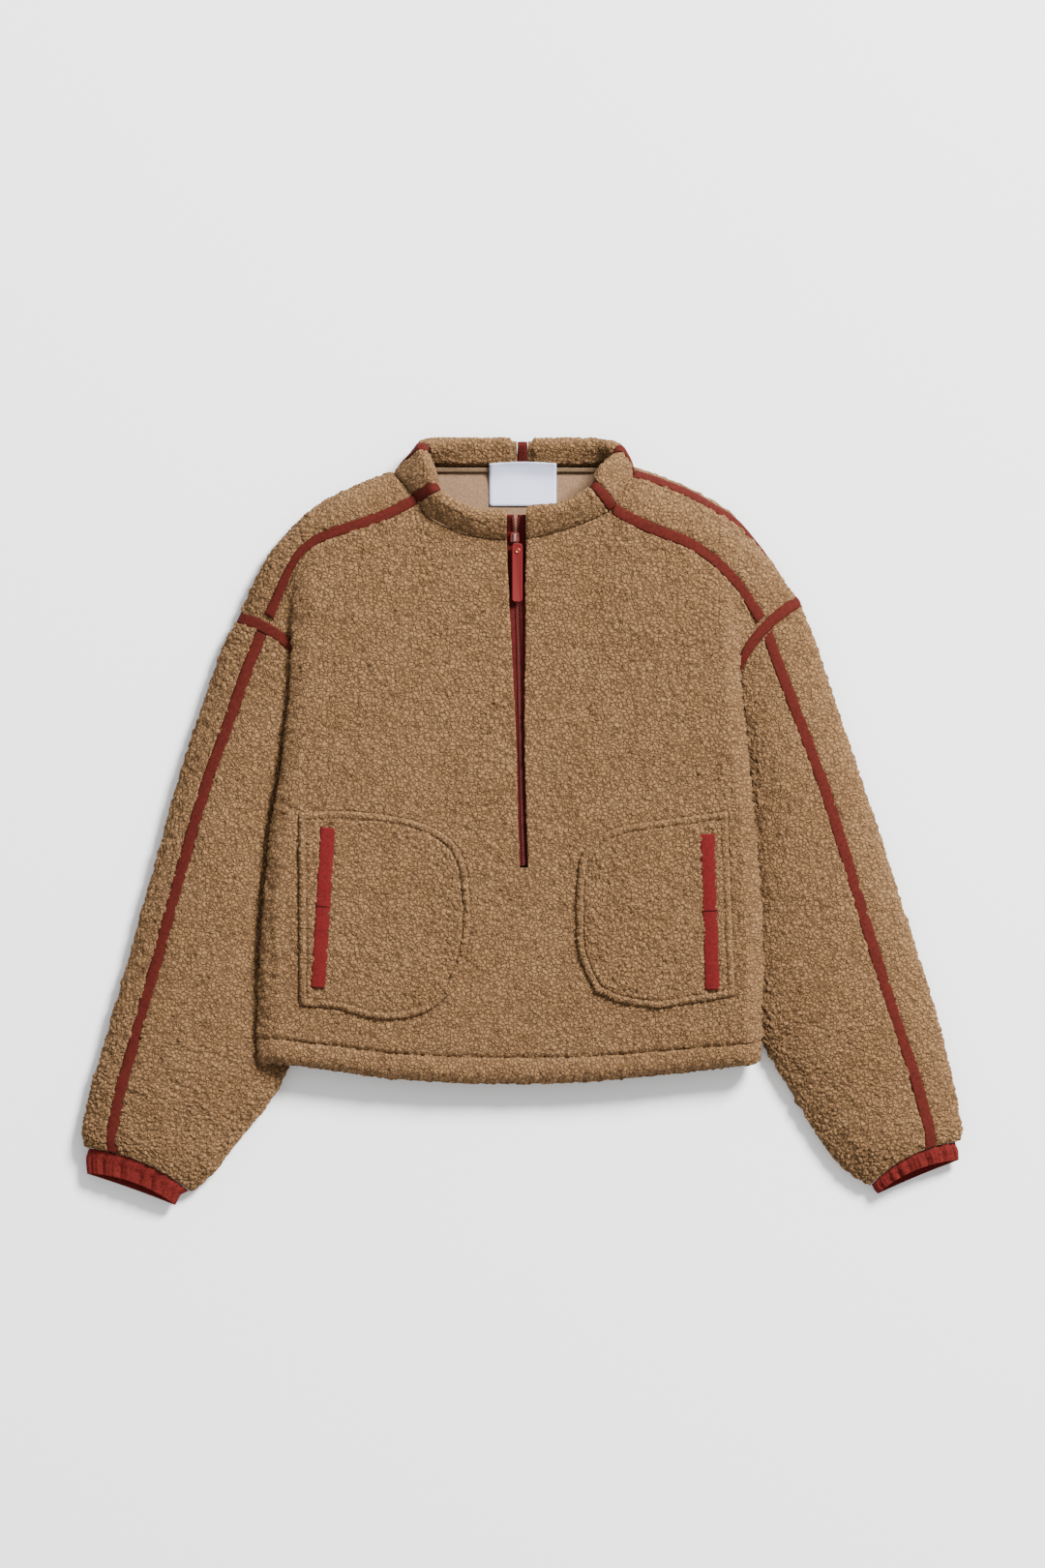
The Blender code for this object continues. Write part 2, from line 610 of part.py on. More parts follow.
def body_rows():
    """Rows of the front: close together at the hem, then one for each row of the side tables."""
    first = np.array(HEM_STEPS) / (CENTRE_Y[1] - CENTRE_Y[0])
    return np.concatenate([first, np.arange(1, LAST_ROW + 1)])


def front_columns():
    """Shares across the front's dome that meet the shoulder strip's and the collar's points."""
    yoke = np.linspace(0, NECK_SHARE, YOKE_COLUMNS)
    neck = np.linspace(NECK_SHARE, SLIT_SHARE, NECK_COLUMNS)
    half = np.concatenate([yoke, neck[1:]])
    return np.concatenate([half, 1 - half[::-1]])


def make_front():
    """The front in one piece, with its slit for the zip."""
    rows = body_rows()
    w = front_columns()
    dome = front_points(w[None, :], rows[:, None])
    flaps = {}
    for side in ("left", "right"):
        flap = flap_points(side, FLAP_SHARES[None, :], rows[:, None])
        fold = FOLD_START[side]
        flap[-1], _ = shoulder_points(side, fold + (1 - fold) * FLAP_SHARES, 0.0)
        hem_rows = len(HEM_STEPS)
        flap[:hem_rows, -1] += (flap[hem_rows, -1] - flap[0, -1]) * rows[:hem_rows, None] \
            - (flap[:hem_rows, -1] - flap[0, -1])
        flaps[side] = flap
    grid = np.concatenate([flaps["left"][:, :0:-1], dome, flaps["right"][:, 1:]], axis=1)
    normals = normals_of(grid, (0, 0, 1))
    columns = grid.shape[1]
    normals[-1] = upright(grid[-1])
    low = len(HEM_STEPS) + SIDE_ROWS - 1
    for side, edge in (("left", 0), ("right", columns - 1)):
        normals[:low, edge] = (0, 0, -1)
        arm = np.array(ARM_SIDE[side], float)[:, 0]
        _, normals[low:-1, edge] = sleeve_points(side, np.zeros(len(arm)), arm)
        _, normals[-1, edge] = shoulder_points(side, 1.0, 0.0)
    slit = np.zeros((len(rows) - 1, columns - 1), bool)
    slit[len(HEM_STEPS) - 1 + SLIT_ROW:, columns // 2 - 1] = True
    wall("front_panel", grid, normals, CLOTH, FLEECE, skip=slit)


make_front()


def make_shoulder(side):
    """Strip over the shoulder between the front seam and the back seam."""
    t = shoulder_places(side)
    q = np.linspace(0, 1, 6)
    grid, normals = shoulder_points(side, t[:, None], q[None, :])
    normals[:, 0] = upright(grid[:, 0])
    wall(f"shoulder_{side}", grid, normals, CLOTH, FLEECE)


def back_edge(side, v):
    """Side of the back on the floor: the side seam, then the armhole seam's path in plan."""
    low = SIDE_LINES[side][5][:SIDE_ROWS].copy()
    arm, _ = sleeve_points(side, np.zeros(len(BACK_ARM)), np.array(BACK_ARM))
    arm[:, 2] = 0.0
    toward = 1.2 if side == "left" else -1.2
    low[-1, 0] += toward
    arm[0, 0] += toward
    return along(np.concatenate([low, arm]), np.asarray(v, float) / (SIDE_ROWS + len(BACK_ARM) - 1))


def back_neck(w):
    """Collar seam of the back between its two corners, in plan: w from 0 to 1, left to right."""
    left, _ = shoulder_points("left", 0.0, 1.0)
    right, _ = shoulder_points("right", 0.0, 1.0)
    x = left[0] + (right[0] - left[0]) * w
    dip = np.minimum(ease(w, 0, 0.16), ease(1 - w, 0, 0.16))
    corner = left[1] + (right[1] - left[1]) * w
    return np.stack([x, corner + (NECK_BACK_Y - corner) * dip, 0 * w], axis=-1)


def make_back():
    """The back: flat on the floor, its edge turned up to the back seam along the shoulders."""
    rows = np.arange(SIDE_ROWS + len(BACK_ARM))
    left_t, right_t = shoulder_places("left"), shoulder_places("right")
    neck_w = np.linspace(0, 1, 2 * NECK_COLUMNS)[1:-1]
    low = {side: back_edge(side, rows) for side in ("left", "right")}
    yoke = {"left": left_t[::-1], "right": right_t}
    ring = []
    for q in (2.0, 1.5, 1.0):
        left, _ = shoulder_points("left", yoke["left"], q)
        right, _ = shoulder_points("right", yoke["right"], q)
        neck = back_neck(neck_w)
        neck[:, 1] -= (q - 1.0) * CORNER
        lift = left[-1, 2] * (1 - ease(neck_w, 0, 0.12)) + right[0, 2] * (1 - ease(1 - neck_w, 0, 0.12))
        neck[:, 2] = lift
        ring.append(np.concatenate([left, neck, right]))
    count = ring[0].shape[0]
    w = np.linspace(0, 1, count)
    hem_left, hem_right = low["left"][0], low["right"][0]
    x = hem_left[0] + (hem_right[0] - hem_left[0]) * w
    hem = np.array(HEM, float)
    inner_hem = np.interp(x, hem[:, 0], hem[:, 1]) + 3.0
    sides = np.minimum(ease(w, 0, 0.1), ease(1 - w, 0, 0.1))
    y = hem_left[1] + (hem_right[1] - hem_left[1]) * w
    bottom = np.stack([x, y + (inner_hem - y) * sides, 0 * x], axis=-1)
    v = (rows / rows[-1])[:, None, None]
    u = w[None, :, None]
    edges = low["left"][:, None] * (1 - u) + low["right"][:, None] * u
    spans = bottom[None] * (1 - v) + ring[0][None] * v
    corners = (bottom[0] * (1 - u) + bottom[-1] * u) * (1 - v)
    corners = corners + (ring[0][0] * (1 - u) + ring[0][-1] * u) * v
    flat = edges + spans - corners
    grid = np.concatenate([flat, ring[1][None], ring[2][None]])
    normals = normals_of(grid, (0, 0, -1))
    normals[:] = (0, 0, -1)
    n_left, n_right = len(left_t), len(right_t)
    for row, q in ((-2, 1.5), (-1, 1.0)):
        _, normals[row, :n_left] = shoulder_points("left", yoke["left"], q)
        _, normals[row, -n_right:] = shoulder_points("right", yoke["right"], q)
    wall("back_panel", grid, normals, CLOTH, FLEECE)


SLEEVE_STATIONS = np.concatenate([[0.0, 0.045], np.linspace(0.09, 1, 12)])


def make_sleeve(side):
    """A sleeve's three lengthwise pieces: front, top and back."""
    s = SLEEVE_STATIONS[:, None]
    start = front_seam(side, np.array(0.0))
    arm = np.array(ARM_SIDE[side], float)[::-1, 0]
    share = np.concatenate([[0], (arm - start) / (1 - start), [1.0]])
    turned = (-0.25 + BACK_SEAM) / 2
    back_share = (np.array([-1.0, *BACK_ARM, turned, BACK_SEAM]) + 1) / (1 + BACK_SEAM)
    a_front = front_seam(side, s)
    a_under = underarm_seam(side, s)
    pieces = {
        "front": a_front + (a_under + 2 - a_front) * share[None, :],
        "top": BACK_SEAM + (a_front - BACK_SEAM) * np.linspace(0, 1, 6)[None, :],
        "back": a_under + (BACK_SEAM - a_under) * back_share[None, :],
    }
    for name, a in pieces.items():
        grid, normals = sleeve_points(side, s, a)
        wall(f"sleeve_{name}_{side}", grid, normals, CLOTH, FLEECE)


# ---- tapes over the seams ---------------------------------------------------------------------------

HALF_TAPE = TAPE_WIDTH / 2
TAPE_END = 6.3       # how far short of the armhole seam the other tapes stop
ARM_TAPE_END = {"left": 0.53, "right": 0.60}     # place round the tube where the armhole tape goes under


def step_off(surface, u, v, du, dv, distance):
    """Point of a surface at a distance from (u, v), in the direction (du, dv) of its parameters."""
    here = surface(u, v)
    tiny = surface(u + du * 0.01, v + dv * 0.01)
    rate = np.linalg.norm(tiny - here, axis=-1) / 0.01
    return surface(u + du * distance / rate, v + dv * distance / rate)


def sleeve_surface(side):
    return lambda s, a: sleeve_points(side, s, a)[0]


def shoulder_surface(side):
    return lambda t, q: shoulder_points(side, t, q)[0]


def beside_shoulder_seam(side, t, distance):
    """Points of the front at a distance from the shoulder seam."""
    fold = FOLD_START[side]
    w = NECK_SHARE * (1 - np.clip(t / fold, 0, 1))
    w = 1 - w if side == "right" else w
    rows = np.full_like(t, LAST_ROW)
    dome = step_off(front_points, w, rows, 0, -1, distance)
    p = np.clip((t - fold) / (1 - fold), 0, 1)
    flap = step_off(lambda a, b: flap_points(side, a, b), p, rows, 0, -1, distance)
    seam, _ = shoulder_points(side, t, 0.0)
    at_row = flap_points(side, p, rows)
    flap = flap + seam - at_row
    return np.where((t <= fold)[..., None], dome, flap)


def make_tapes(side):
    """Woven tape over the front and back shoulder seams, the sleeve's two seams and the armhole."""
    near_arm = 0.945
    fold = FOLD_START[side]
    t = np.concatenate([np.linspace(0.012, fold, 7), np.linspace(fold, near_arm, 7)[1:]])
    seam, _ = shoulder_points(side, t, 0.0)
    over = step_off(shoulder_surface(side), t, np.zeros_like(t), 0, 1, HALF_TAPE)
    below = beside_shoulder_seam(side, t, HALF_TAPE)
    under = np.stack([below, seam, over], axis=1)
    laid_on(f"shoulder_tape_front_{side}", under, TAPE_THICK, TAPE, (0, 0, 1))
    ones = np.ones_like(t)
    seam, _ = shoulder_points(side, t, 1.0)
    over = step_off(shoulder_surface(side), t, ones, 0, -1, HALF_TAPE)
    below = step_off(shoulder_surface(side), t, ones, 0, 1, HALF_TAPE)
    outward = (-1, 0, 0) if side == "left" else (1, 0, 0)
    under = np.stack([below, seam, over], axis=1)
    laid_on(f"shoulder_tape_back_{side}", under, TAPE_THICK, TAPE, outward, 0.9)
    length = 550.0
    s = np.linspace(TAPE_END / length * 1.6, 0.997, 16)
    for name, place, up in (("front", front_seam(side, s), (0, 0, 1)), ("back", 0 * s + BACK_SEAM, outward)):
        lines = [step_off(sleeve_surface(side), s, place, 0, sign, HALF_TAPE) for sign in (-1, 1)]
        seam, _ = sleeve_points(side, s, place)
        under = np.stack([lines[0], seam, lines[1]], axis=1)
        laid_on(f"sleeve_tape_{name}_{side}", under, TAPE_THICK, TAPE, up)
    corner = float(front_seam(side, np.array(0.0)))
    over_top = np.linspace(corner, BACK_SEAM - 0.02, 9)[1:]
    a = np.concatenate([np.linspace(ARM_TAPE_END[side], corner, 6), over_top])
    seam, _ = sleeve_points(side, 0 * a, a)
    on_sleeve = step_off(sleeve_surface(side), 0 * a, a, 1, 0, HALF_TAPE)
    q = (a - corner) / (BACK_SEAM - corner)
    on_strip = step_off(shoulder_surface(side), 1 + 0 * q, np.clip(q, 0, 2), -1, 0, HALF_TAPE)
    arm_rows = np.array(ARM_SIDE[side], float)[:, 0]
    v = np.interp(-a, -np.concatenate([arm_rows, [corner]]), np.arange(SIDE_ROWS, LAST_ROW + 1))
    on_flap = step_off(lambda x, y: flap_points(side, x, y), 1 + 0 * v, v, -1, 0, HALF_TAPE)
    on_body = np.where((a > corner)[:, None], on_flap, on_strip)
    under = np.stack([on_body, seam, on_sleeve], axis=1)
    laid_on(f"armhole_tape_{side}", under, TAPE_THICK, TAPE, (0, 0, 1), 0.8)


# ---- the collar -------------------------------------------------------------------------------------

BACK_SHARES = np.array([0.0, 1 / 9, 2 / 9, 1 / 3, 0.5])
CREST_ANGLES = np.radians([0, 45, 90, 135, 180])


def collar_seam(side, rows):
    """Points of the collar seam at places of the collar's table.

    The seam runs straight between the same points as the edges of the front, the strip and the back."""
    front = np.array(NECK[side], float)
    at_front = xyz(front, neck_height(side, np.linspace(0, 1, len(front))))
    at_side, _ = shoulder_points(side, np.zeros(5), np.linspace(0.2, 1, 5))
    share = BACK_SHARES[1:].copy()
    ends = [shoulder_points(name, 0.0, 1.0)[0][0] for name in ("left", "right")]
    own = ends[0] if side == "left" else ends[1]
    share[-1] = (COLLAR[side][-1][0] - own) / (ends[1] - ends[0]) * (1 if side == "left" else -1)
    at_back = back_neck(share if side == "left" else 1 - share)
    at_back[:, 2] = at_side[-1, 2] * (1 - ease(share, 0, 0.12))
    seam = np.concatenate([at_front, at_side, at_back])
    place = np.concatenate([np.arange(5), 4 + 2 * np.linspace(0.2, 1, 5), np.arange(7, 11)])
    return np.stack([np.interp(rows, place, column) for column in seam.T], axis=-1)


def collar_ring(side, rows, inset=0.0):
    """Sections through the collar at places of its table: seam edge, outside, crest and inside."""
    table = np.array(COLLAR[side], float)
    seam = collar_seam(side, rows)
    last = len(table) - 1
    place = np.asarray(rows, float) / last
    crest, inner = along(table[:, 0:3], place), along(table[:, 3:6], place)
    toward = unit((crest - seam) * [1, 1, 0])
    outer = seam + toward * SEAM_GAP
    along_wall = unit(crest - (outer + inner) / 2)
    square = outer - inner
    square = unit(square - (square * along_wall).sum(-1, keepdims=True) * along_wall)
    radius = CREST_RADIUS - inset
    sides = [crest + radius * (square * np.cos(f) + along_wall * np.sin(f)) for f in CREST_ANGLES]
    outer = outer - square * inset
    inner = inner + square * inset
    bulge = square * 1.2
    ring = [outer, (outer + sides[0]) / 2 + bulge] + sides
    ring += [(inner + sides[-1]) / 2, inner]
    ring = np.stack(ring, axis=-2)
    ring[..., 2] = np.maximum(ring[..., 2], 0.0)
    return ring


def make_collar(side):
    """Half of the stand collar: its front, side and back pieces and the tapes over their seams."""
    last = len(COLLAR[side]) - 1
    spans = {"front": (0, COLLAR_SIDE_ROW, 9), "side": (COLLAR_SIDE_ROW, COLLAR_BACK_ROW, 6),
             "back": (COLLAR_BACK_ROW, last, 9)}
    for name, (start, end, count) in spans.items():
        rows = np.linspace(start, end, count)
        rows[0] += 0.008 * (start > 0)
        rows[-1] -= 0.008 * (end < last)
        rings = collar_ring(side, rows)
        swept(f"collar_{name}_{side}", rings, FLEECE)


def make_collar_tapes(side):
    """Tape over the two seams across the collar: front to side, and side to back."""
    back_lift = {"left": 1.3, "right": 0.7}[side]
    seams = (("front", COLLAR_SIDE_ROW, 0.3, (0, 0, 1), 0.8),
             ("back", COLLAR_BACK_ROW, 0.2, (0, 1, 1), back_lift))
    for name, row, reach, up, lift in seams:
        rings = collar_ring(side, np.array([row - reach, row, row + reach]))
        across = np.linalg.norm(rings[2] - rings[0], axis=-1)
        share = np.minimum(TAPE_WIDTH / across, 1.0)[:, None]
        under = np.stack([rings[1] + (rings[0] - rings[1]) * share, rings[1],
                          rings[1] + (rings[2] - rings[1]) * share], axis=1)[0:6]
        under[0] += unit(under[1] - under[0]) * 6.0
        laid_on(f"collar_tape_{name}_{side}", under, TAPE_THICK, TAPE, up, lift)


def make_collar_middle():
    """Tape in the middle of the back collar, between the ends of the pile."""
    rings = [collar_ring(side, np.array([10.0]), inset=1.4)[0] for side in ("left", "right")]
    rings[0][:, 0] += 0.6
    rings[1][:, 0] -= 0.6
    rings = np.stack(rings)
    rings[..., 1] = np.maximum(rings[..., 1], NECK_BACK_Y + SEAM_GAP)
    swept("collar_tape_centre", rings, TAPE)


# ---- cuffs ------------------------------------------------------------------------------------------

CUFF_POINTS = 72
CUFF_HEIGHT = [24.0, 22.0, 21.0]


def make_cuff(side):
    """A gathered cuff, open at its end and a little shorter on its upper side."""
    f = np.linspace(0, 2 * np.pi, CUFF_POINTS, endpoint=False)
    a = np.where(f <= np.pi, f / np.pi, f / np.pi - 2)
    start, out = sleeve_points(side, np.ones_like(a), a)
    before, _ = sleeve_points(side, np.full_like(a, 0.99), a)
    start = start + unit(start - before) * (SEAM_GAP + 0.6)
    wave = np.cos(CUFF_WAVES * f + 1.3 * np.sin(3 * f))
    ripple = out * (0.3 * wave)[:, None]
    rings = [(start - out * 1.0 + ripple, start - out * 3.0 + ripple)]
    table = np.array(CUFF[side], float)
    for place in (0.35, 0.5, 0.75, 1.0):
        row = along(table, place)
        outer, inner = row[0:2], row[2:4]
        height = np.interp(place, [0, 0.5, 1], CUFF_HEIGHT)
        half = np.linalg.norm(outer - inner) / 2
        across = unit(outer - inner)
        up = np.array([-across[1], across[0]])
        up = up if up[1] > 0 else -up
        pair = []
        for depth in (0.0, CUFF_WALL):
            wide = half - depth
            x = wide * np.cos(f)
            grow = CUFF_WAVE * (0.5 + 0.5 * place) * wave
            z = height / 2 + (height / 2 - depth + grow * (np.sin(f) > 0)) * np.sin(f)
            bow = (1 - (x / half) ** 2) * np.where(np.sin(f) > 0, CUFF_BOW * 0.75 * (0.6 + 0.4 * place), 1.0)
            plan = (outer + inner) / 2 + x[:, None] * across + bow[:, None] * up
            pair.append(xyz(plan, z))
        rings.append(tuple(pair))
    outer = np.stack([ring[0] for ring in rings])
    inner = np.stack([ring[1] for ring in rings])
    count, size = outer.shape[0], outer.shape[1]
    below = count * size
    faces = []
    for c in range(size):
        d = (c + 1) % size
        for r in range(count - 1):
            lo, hi = r * size, (r + 1) * size
            faces.append([lo + c, lo + d, hi + d, hi + c])
            faces.append([below + lo + c, below + hi + c, below + hi + d, below + lo + d])
        faces.append([c, below + c, below + d, d])
        end = (count - 1) * size
        faces.append([end + c, end + d, below + end + d, below + end + c])
    add_object(f"cuff_{side}", np.concatenate([outer, inner]), faces, RIB)


# ---- pockets ----------------------------------------------------------------------------------------

def on_front(plan):
    """Points of the front and its normals over plan positions, found by Newton's steps."""
    plan = np.asarray(plan, float)
    w, v = np.meshgrid(np.linspace(0, 1, 41), np.linspace(0, LAST_ROW, 57), indexing="ij")
    known = front_points(w, v)[..., :2]
    gap = np.linalg.norm(known[None] - plan.reshape(-1, 1, 1, 2), axis=-1)
    best = gap.reshape(gap.shape[0], -1).argmin(axis=1)
    w = w.reshape(-1)[best].reshape(plan.shape[:-1])
    v = v.reshape(-1)[best].reshape(plan.shape[:-1])
    for _ in range(12):
        here = front_points(w, v)
        du = (front_points(w + 1e-4, v) - here) / 1e-4
        dv = (front_points(w, v + 1e-3) - here) / 1e-3
        miss = plan - here[..., :2]
        area = du[..., 0] * dv[..., 1] - du[..., 1] * dv[..., 0]
        w = np.clip(w + (miss[..., 0] * dv[..., 1] - miss[..., 1] * dv[..., 0]) / area, 0, 0.999)
        v = np.clip(v + (miss[..., 1] * du[..., 0] - miss[..., 0] * du[..., 1]) / area, 0, LAST_ROW - 0.01)
    return front_points(w, v), unit(np.cross(du, dv))


def pocket_plan(side):
    """Plan grid over the D of a pocket: a patch spanned between its four sides."""
    table = np.array(POCKET[side], float)
    upper = along(table[0:6], np.linspace(0, 1, 9))
    round_side = along(table[5:9], np.linspace(0, 1, 9))
    lower = along(table[8:13][::-1], np.linspace(0, 1, 9))
    u = np.linspace(0, 1, 9)[:, None]
    straight = table[0] * (1 - u) + table[-1] * u
    r, c = np.linspace(0, 1, 9)[:, None, None], np.linspace(0, 1, 9)[None, :, None]
    corners = (table[0] * (1 - r) + table[-1] * r) * (1 - c) + (table[5] * (1 - r) + table[8] * r) * c
    down = upper[None] * (1 - r) + lower[None] * r
    across = straight[:, None] * (1 - c) + round_side[:, None] * c
    return down + across - corners


def make_pocket(side):
    """A D-shaped patch on the front and the welt over its opening."""
    points, normals = on_front(pocket_plan(side))
    wall(f"pocket_{side}", points + normals * (0.6 + POCKET_THICK), normals, POCKET_THICK, FLEECE, gap=0.0)
    ends = np.array(WELT[side], float)
    run = unit(ends[1] - ends[0])
    across = np.array([-run[1], run[0]]) * WELT_WIDTH / 2
    t = np.linspace(0, 1, 9)[:, None]
    line = ends[0] * (1 - t) + ends[1] * t
    plan = np.stack([line - across, line, line + across], axis=1)
    points, normals = on_front(plan)
    wall(f"pocket_welt_{side}", points + normals * (POCKET_THICK + 1.4 + 1.6), normals, 1.6, TAPE, gap=0.0)


# ---- zip --------------------------------------------------------------------------------------------

ZIP_SINK = 2.8           # zip tapes below the front's surface
ZIP_ABOVE = [(276.0, 37.6), (284.0, 43.5), (ZIP_TOP, 48.5)]   # y, z of the tapes beside the collar
PULL_PIVOT = (-8.3, 268.2)
PULL_ENDS = (265.4, 208.4)


def zip_line():
    """Stations of the zip from its foot to its top: left edge, middle and right edge of the opening."""
    rows = np.arange(SLIT_ROW, LAST_ROW + 1)
    left, right = slit_edges(rows)
    left[0, 1] += 1.5
    right[0, 1] += 1.5
    left[-1, 1] = right[-1, 1] = CENTRE_Y[-1] - 1.0
    for end in (left, right):
        end[:, 2] -= ZIP_SINK
    stations = np.array(ZIP_STATIONS, float)[::-1]
    for y, z in ZIP_ABOVE:
        middle = np.interp(y, stations[:, 0], stations[:, 1])
        half = np.interp(y, stations[:, 0], stations[:, 2])
        left = np.concatenate([left, [[middle - half, y, z]]])
        right = np.concatenate([right, [[middle + half, y, z]]])
    return left, (left + right) / 2, right


def bar(name, left, right, low, high, kind):
    """A flat bar through stations, from its left and right edges and its heights below and above them."""
    corners = [left + [0, 0, high], left + [0, 0, low], right + [0, 0, low], right + [0, 0, high]]
    rings = np.stack(corners, axis=1)
    return swept(name, rings, kind)


def block(name, low, high, chamfer, kind, origin=(0.0, 0.0, 0.0)):
    """A box with its upright and upper edges cut off."""
    rings = []
    for z, inset in ((low[2], 0.0), (high[2] - chamfer, 0.0), (high[2], chamfer)):
        x0, y0, x1, y1 = low[0] + inset, low[1] + inset, high[0] - inset, high[1] - inset
        c = chamfer
        rings.append([(x0 + c, y0, z), (x1 - c, y0, z), (x1, y0 + c, z), (x1, y1 - c, z),
                      (x1 - c, y1, z), (x0 + c, y1, z), (x0, y1 - c, z), (x0, y0 + c, z)])
    return swept(name, np.array(rings, float), kind, origin)


def make_zip():
    """The half zip: two woven tapes, the closed chain, the slider and its pull."""
    left, middle, right = zip_line()
    half = CHAIN_WIDTH / 2
    to_chain = [half + SEAM_GAP, 0, 0]
    bar("zip_tape_left", left + [0.5, 0, 0], middle - to_chain, -1.2, 0.0, TAPE)
    bar("zip_tape_right", middle + to_chain, right - [0.5, 0, 0], -1.2, 0.0, TAPE)
    closed = middle[middle[:, 1] < SLIDER_Y - 8]
    x_end = np.interp(SLIDER_Y - 8, middle[:, 1], middle[:, 0])
    z_end = np.interp(SLIDER_Y - 8, middle[:, 1], middle[:, 2])
    closed = np.concatenate([closed, [[x_end, SLIDER_Y - 8, z_end]]])
    bar("zip_chain", closed - [half, 0, 0], closed + [half, 0, 0], -1.8, 1.0, TAPE)
    x, z = PULL_PIVOT[0], CENTRE_Z[-1] - ZIP_SINK
    block("zip_slider", (x - 4.6, 264.6, z + 1.8), (x + 4.6, 275.0, z + 6.0), 1.2, METAL)
    z = CENTRE_Z[-1] + 2.6
    pivot = (x, PULL_PIVOT[1], z + 1.2)
    block("zip_pull", (-11.0, PULL_ENDS[1], z), (-0.9, PULL_ENDS[0] - 1.2, z + 2.4), 0.8, PULL, pivot)
    f = np.linspace(0, 2 * np.pi, 16, endpoint=False)
    rings = [np.stack([-5.5 + r * np.cos(f), 257.1 + r * np.sin(f), 0 * f + z + h], axis=-1)
             for r, h in ((2.6, 2.7), (2.6, 3.1), (1.9, 3.5))]
    swept("zip_rivet", np.stack(rings), RIVET, pivot)


# ---- inside the neck --------------------------------------------------------------------------------

# Underside of the label, y and z, from its top edge down.
LABEL_PROFILE = [(341.8, 13.2), (336.0, 9.6), (328.0, 6.2), (318.0, 4.8), (299.5, 4.4)]


def make_neck_trim():
    """The binding over the back's collar seam and the blank label under it."""
    x = np.linspace(-84, 78, 9)
    line = np.stack([x, 0 * x + 335.4, 0 * x + 8.2], axis=-1)
    corners = [line + [0, -2.5, -2.0], line + [0, 0.9, -2.0], line + [0, 0.9, 0], line + [0, -2.5, -0.6]]
    swept("neck_binding", np.stack(corners, axis=1), BINDING)
    rings = []
    for y, z in LABEL_PROFILE:
        rings.append([(-32.5, y, z), (-32.5, y, z + 0.8), (31.3, y, z + 0.8), (31.3, y, z)])
    swept("neck_label", np.array(rings, float), SATIN)


make_back()
make_collar_middle()
make_zip()
make_neck_trim()
for side in ("left", "right"):
    make_shoulder(side)
    make_sleeve(side)
    make_tapes(side)
    make_collar(side)
    make_collar_tapes(side)
    make_cuff(side)
    make_pocket(side)
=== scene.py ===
"""Half-zip pullover of deep-pile fleece, laid flat on a pale surface and seen from straight above."""
import json
import bmesh
import bpy
import numpy as np
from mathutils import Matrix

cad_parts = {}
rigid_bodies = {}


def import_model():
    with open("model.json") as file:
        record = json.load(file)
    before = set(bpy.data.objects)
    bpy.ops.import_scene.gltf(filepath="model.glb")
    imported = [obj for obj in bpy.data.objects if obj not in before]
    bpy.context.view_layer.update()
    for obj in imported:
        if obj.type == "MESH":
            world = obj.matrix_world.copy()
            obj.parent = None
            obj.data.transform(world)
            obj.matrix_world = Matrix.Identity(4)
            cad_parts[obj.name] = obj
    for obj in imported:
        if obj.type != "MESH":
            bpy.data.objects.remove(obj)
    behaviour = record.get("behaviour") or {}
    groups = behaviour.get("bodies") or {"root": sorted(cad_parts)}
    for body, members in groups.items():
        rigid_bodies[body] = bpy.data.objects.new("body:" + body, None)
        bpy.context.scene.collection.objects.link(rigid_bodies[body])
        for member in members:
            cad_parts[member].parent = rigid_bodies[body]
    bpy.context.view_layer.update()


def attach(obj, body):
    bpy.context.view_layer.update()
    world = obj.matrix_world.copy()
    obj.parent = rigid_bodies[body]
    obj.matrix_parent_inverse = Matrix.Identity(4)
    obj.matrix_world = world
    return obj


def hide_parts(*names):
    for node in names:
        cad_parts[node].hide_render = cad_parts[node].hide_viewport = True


for leftover in list(bpy.data.objects):
    bpy.data.objects.remove(leftover)
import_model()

# ---- sleeves ----------------------------------------------------------------------------------------
# Each sleeve is sewn from three lengths of deep-pile fleece: a front, a top and a back. It lies flattened,
# a tube about 30 mm high, with its cut edges hidden under tapes. Sizes are millimetres, as in the source.

MM = 0.001
CLOTH = 4.0              # fleece with its backing
LEVEL = 11.0             # height of the outermost edge of a laid tube above the floor
CORNER = 14.0            # how far in from that edge the underside reaches the floor
CORNER_SHARE = 0.25      # each lower corner's share of the way round the underside
SLUMP = 0.38             # how much the tube's inner half sinks below a full arc
PILE_STAND = 2.5         # how far the pile stands out beyond the cloth in plan
BACK_SEAM = -0.085       # place round the tube of the seam between top and back
ARM_BOW = 14.5           # how far the armhole's upper side bows up in plan
END_BOW = 7.0            # the same at the cuff
FINE = 1.0
BODY = "garment"
SIDES = ("left", "right")
UP = (0, 0, 1)

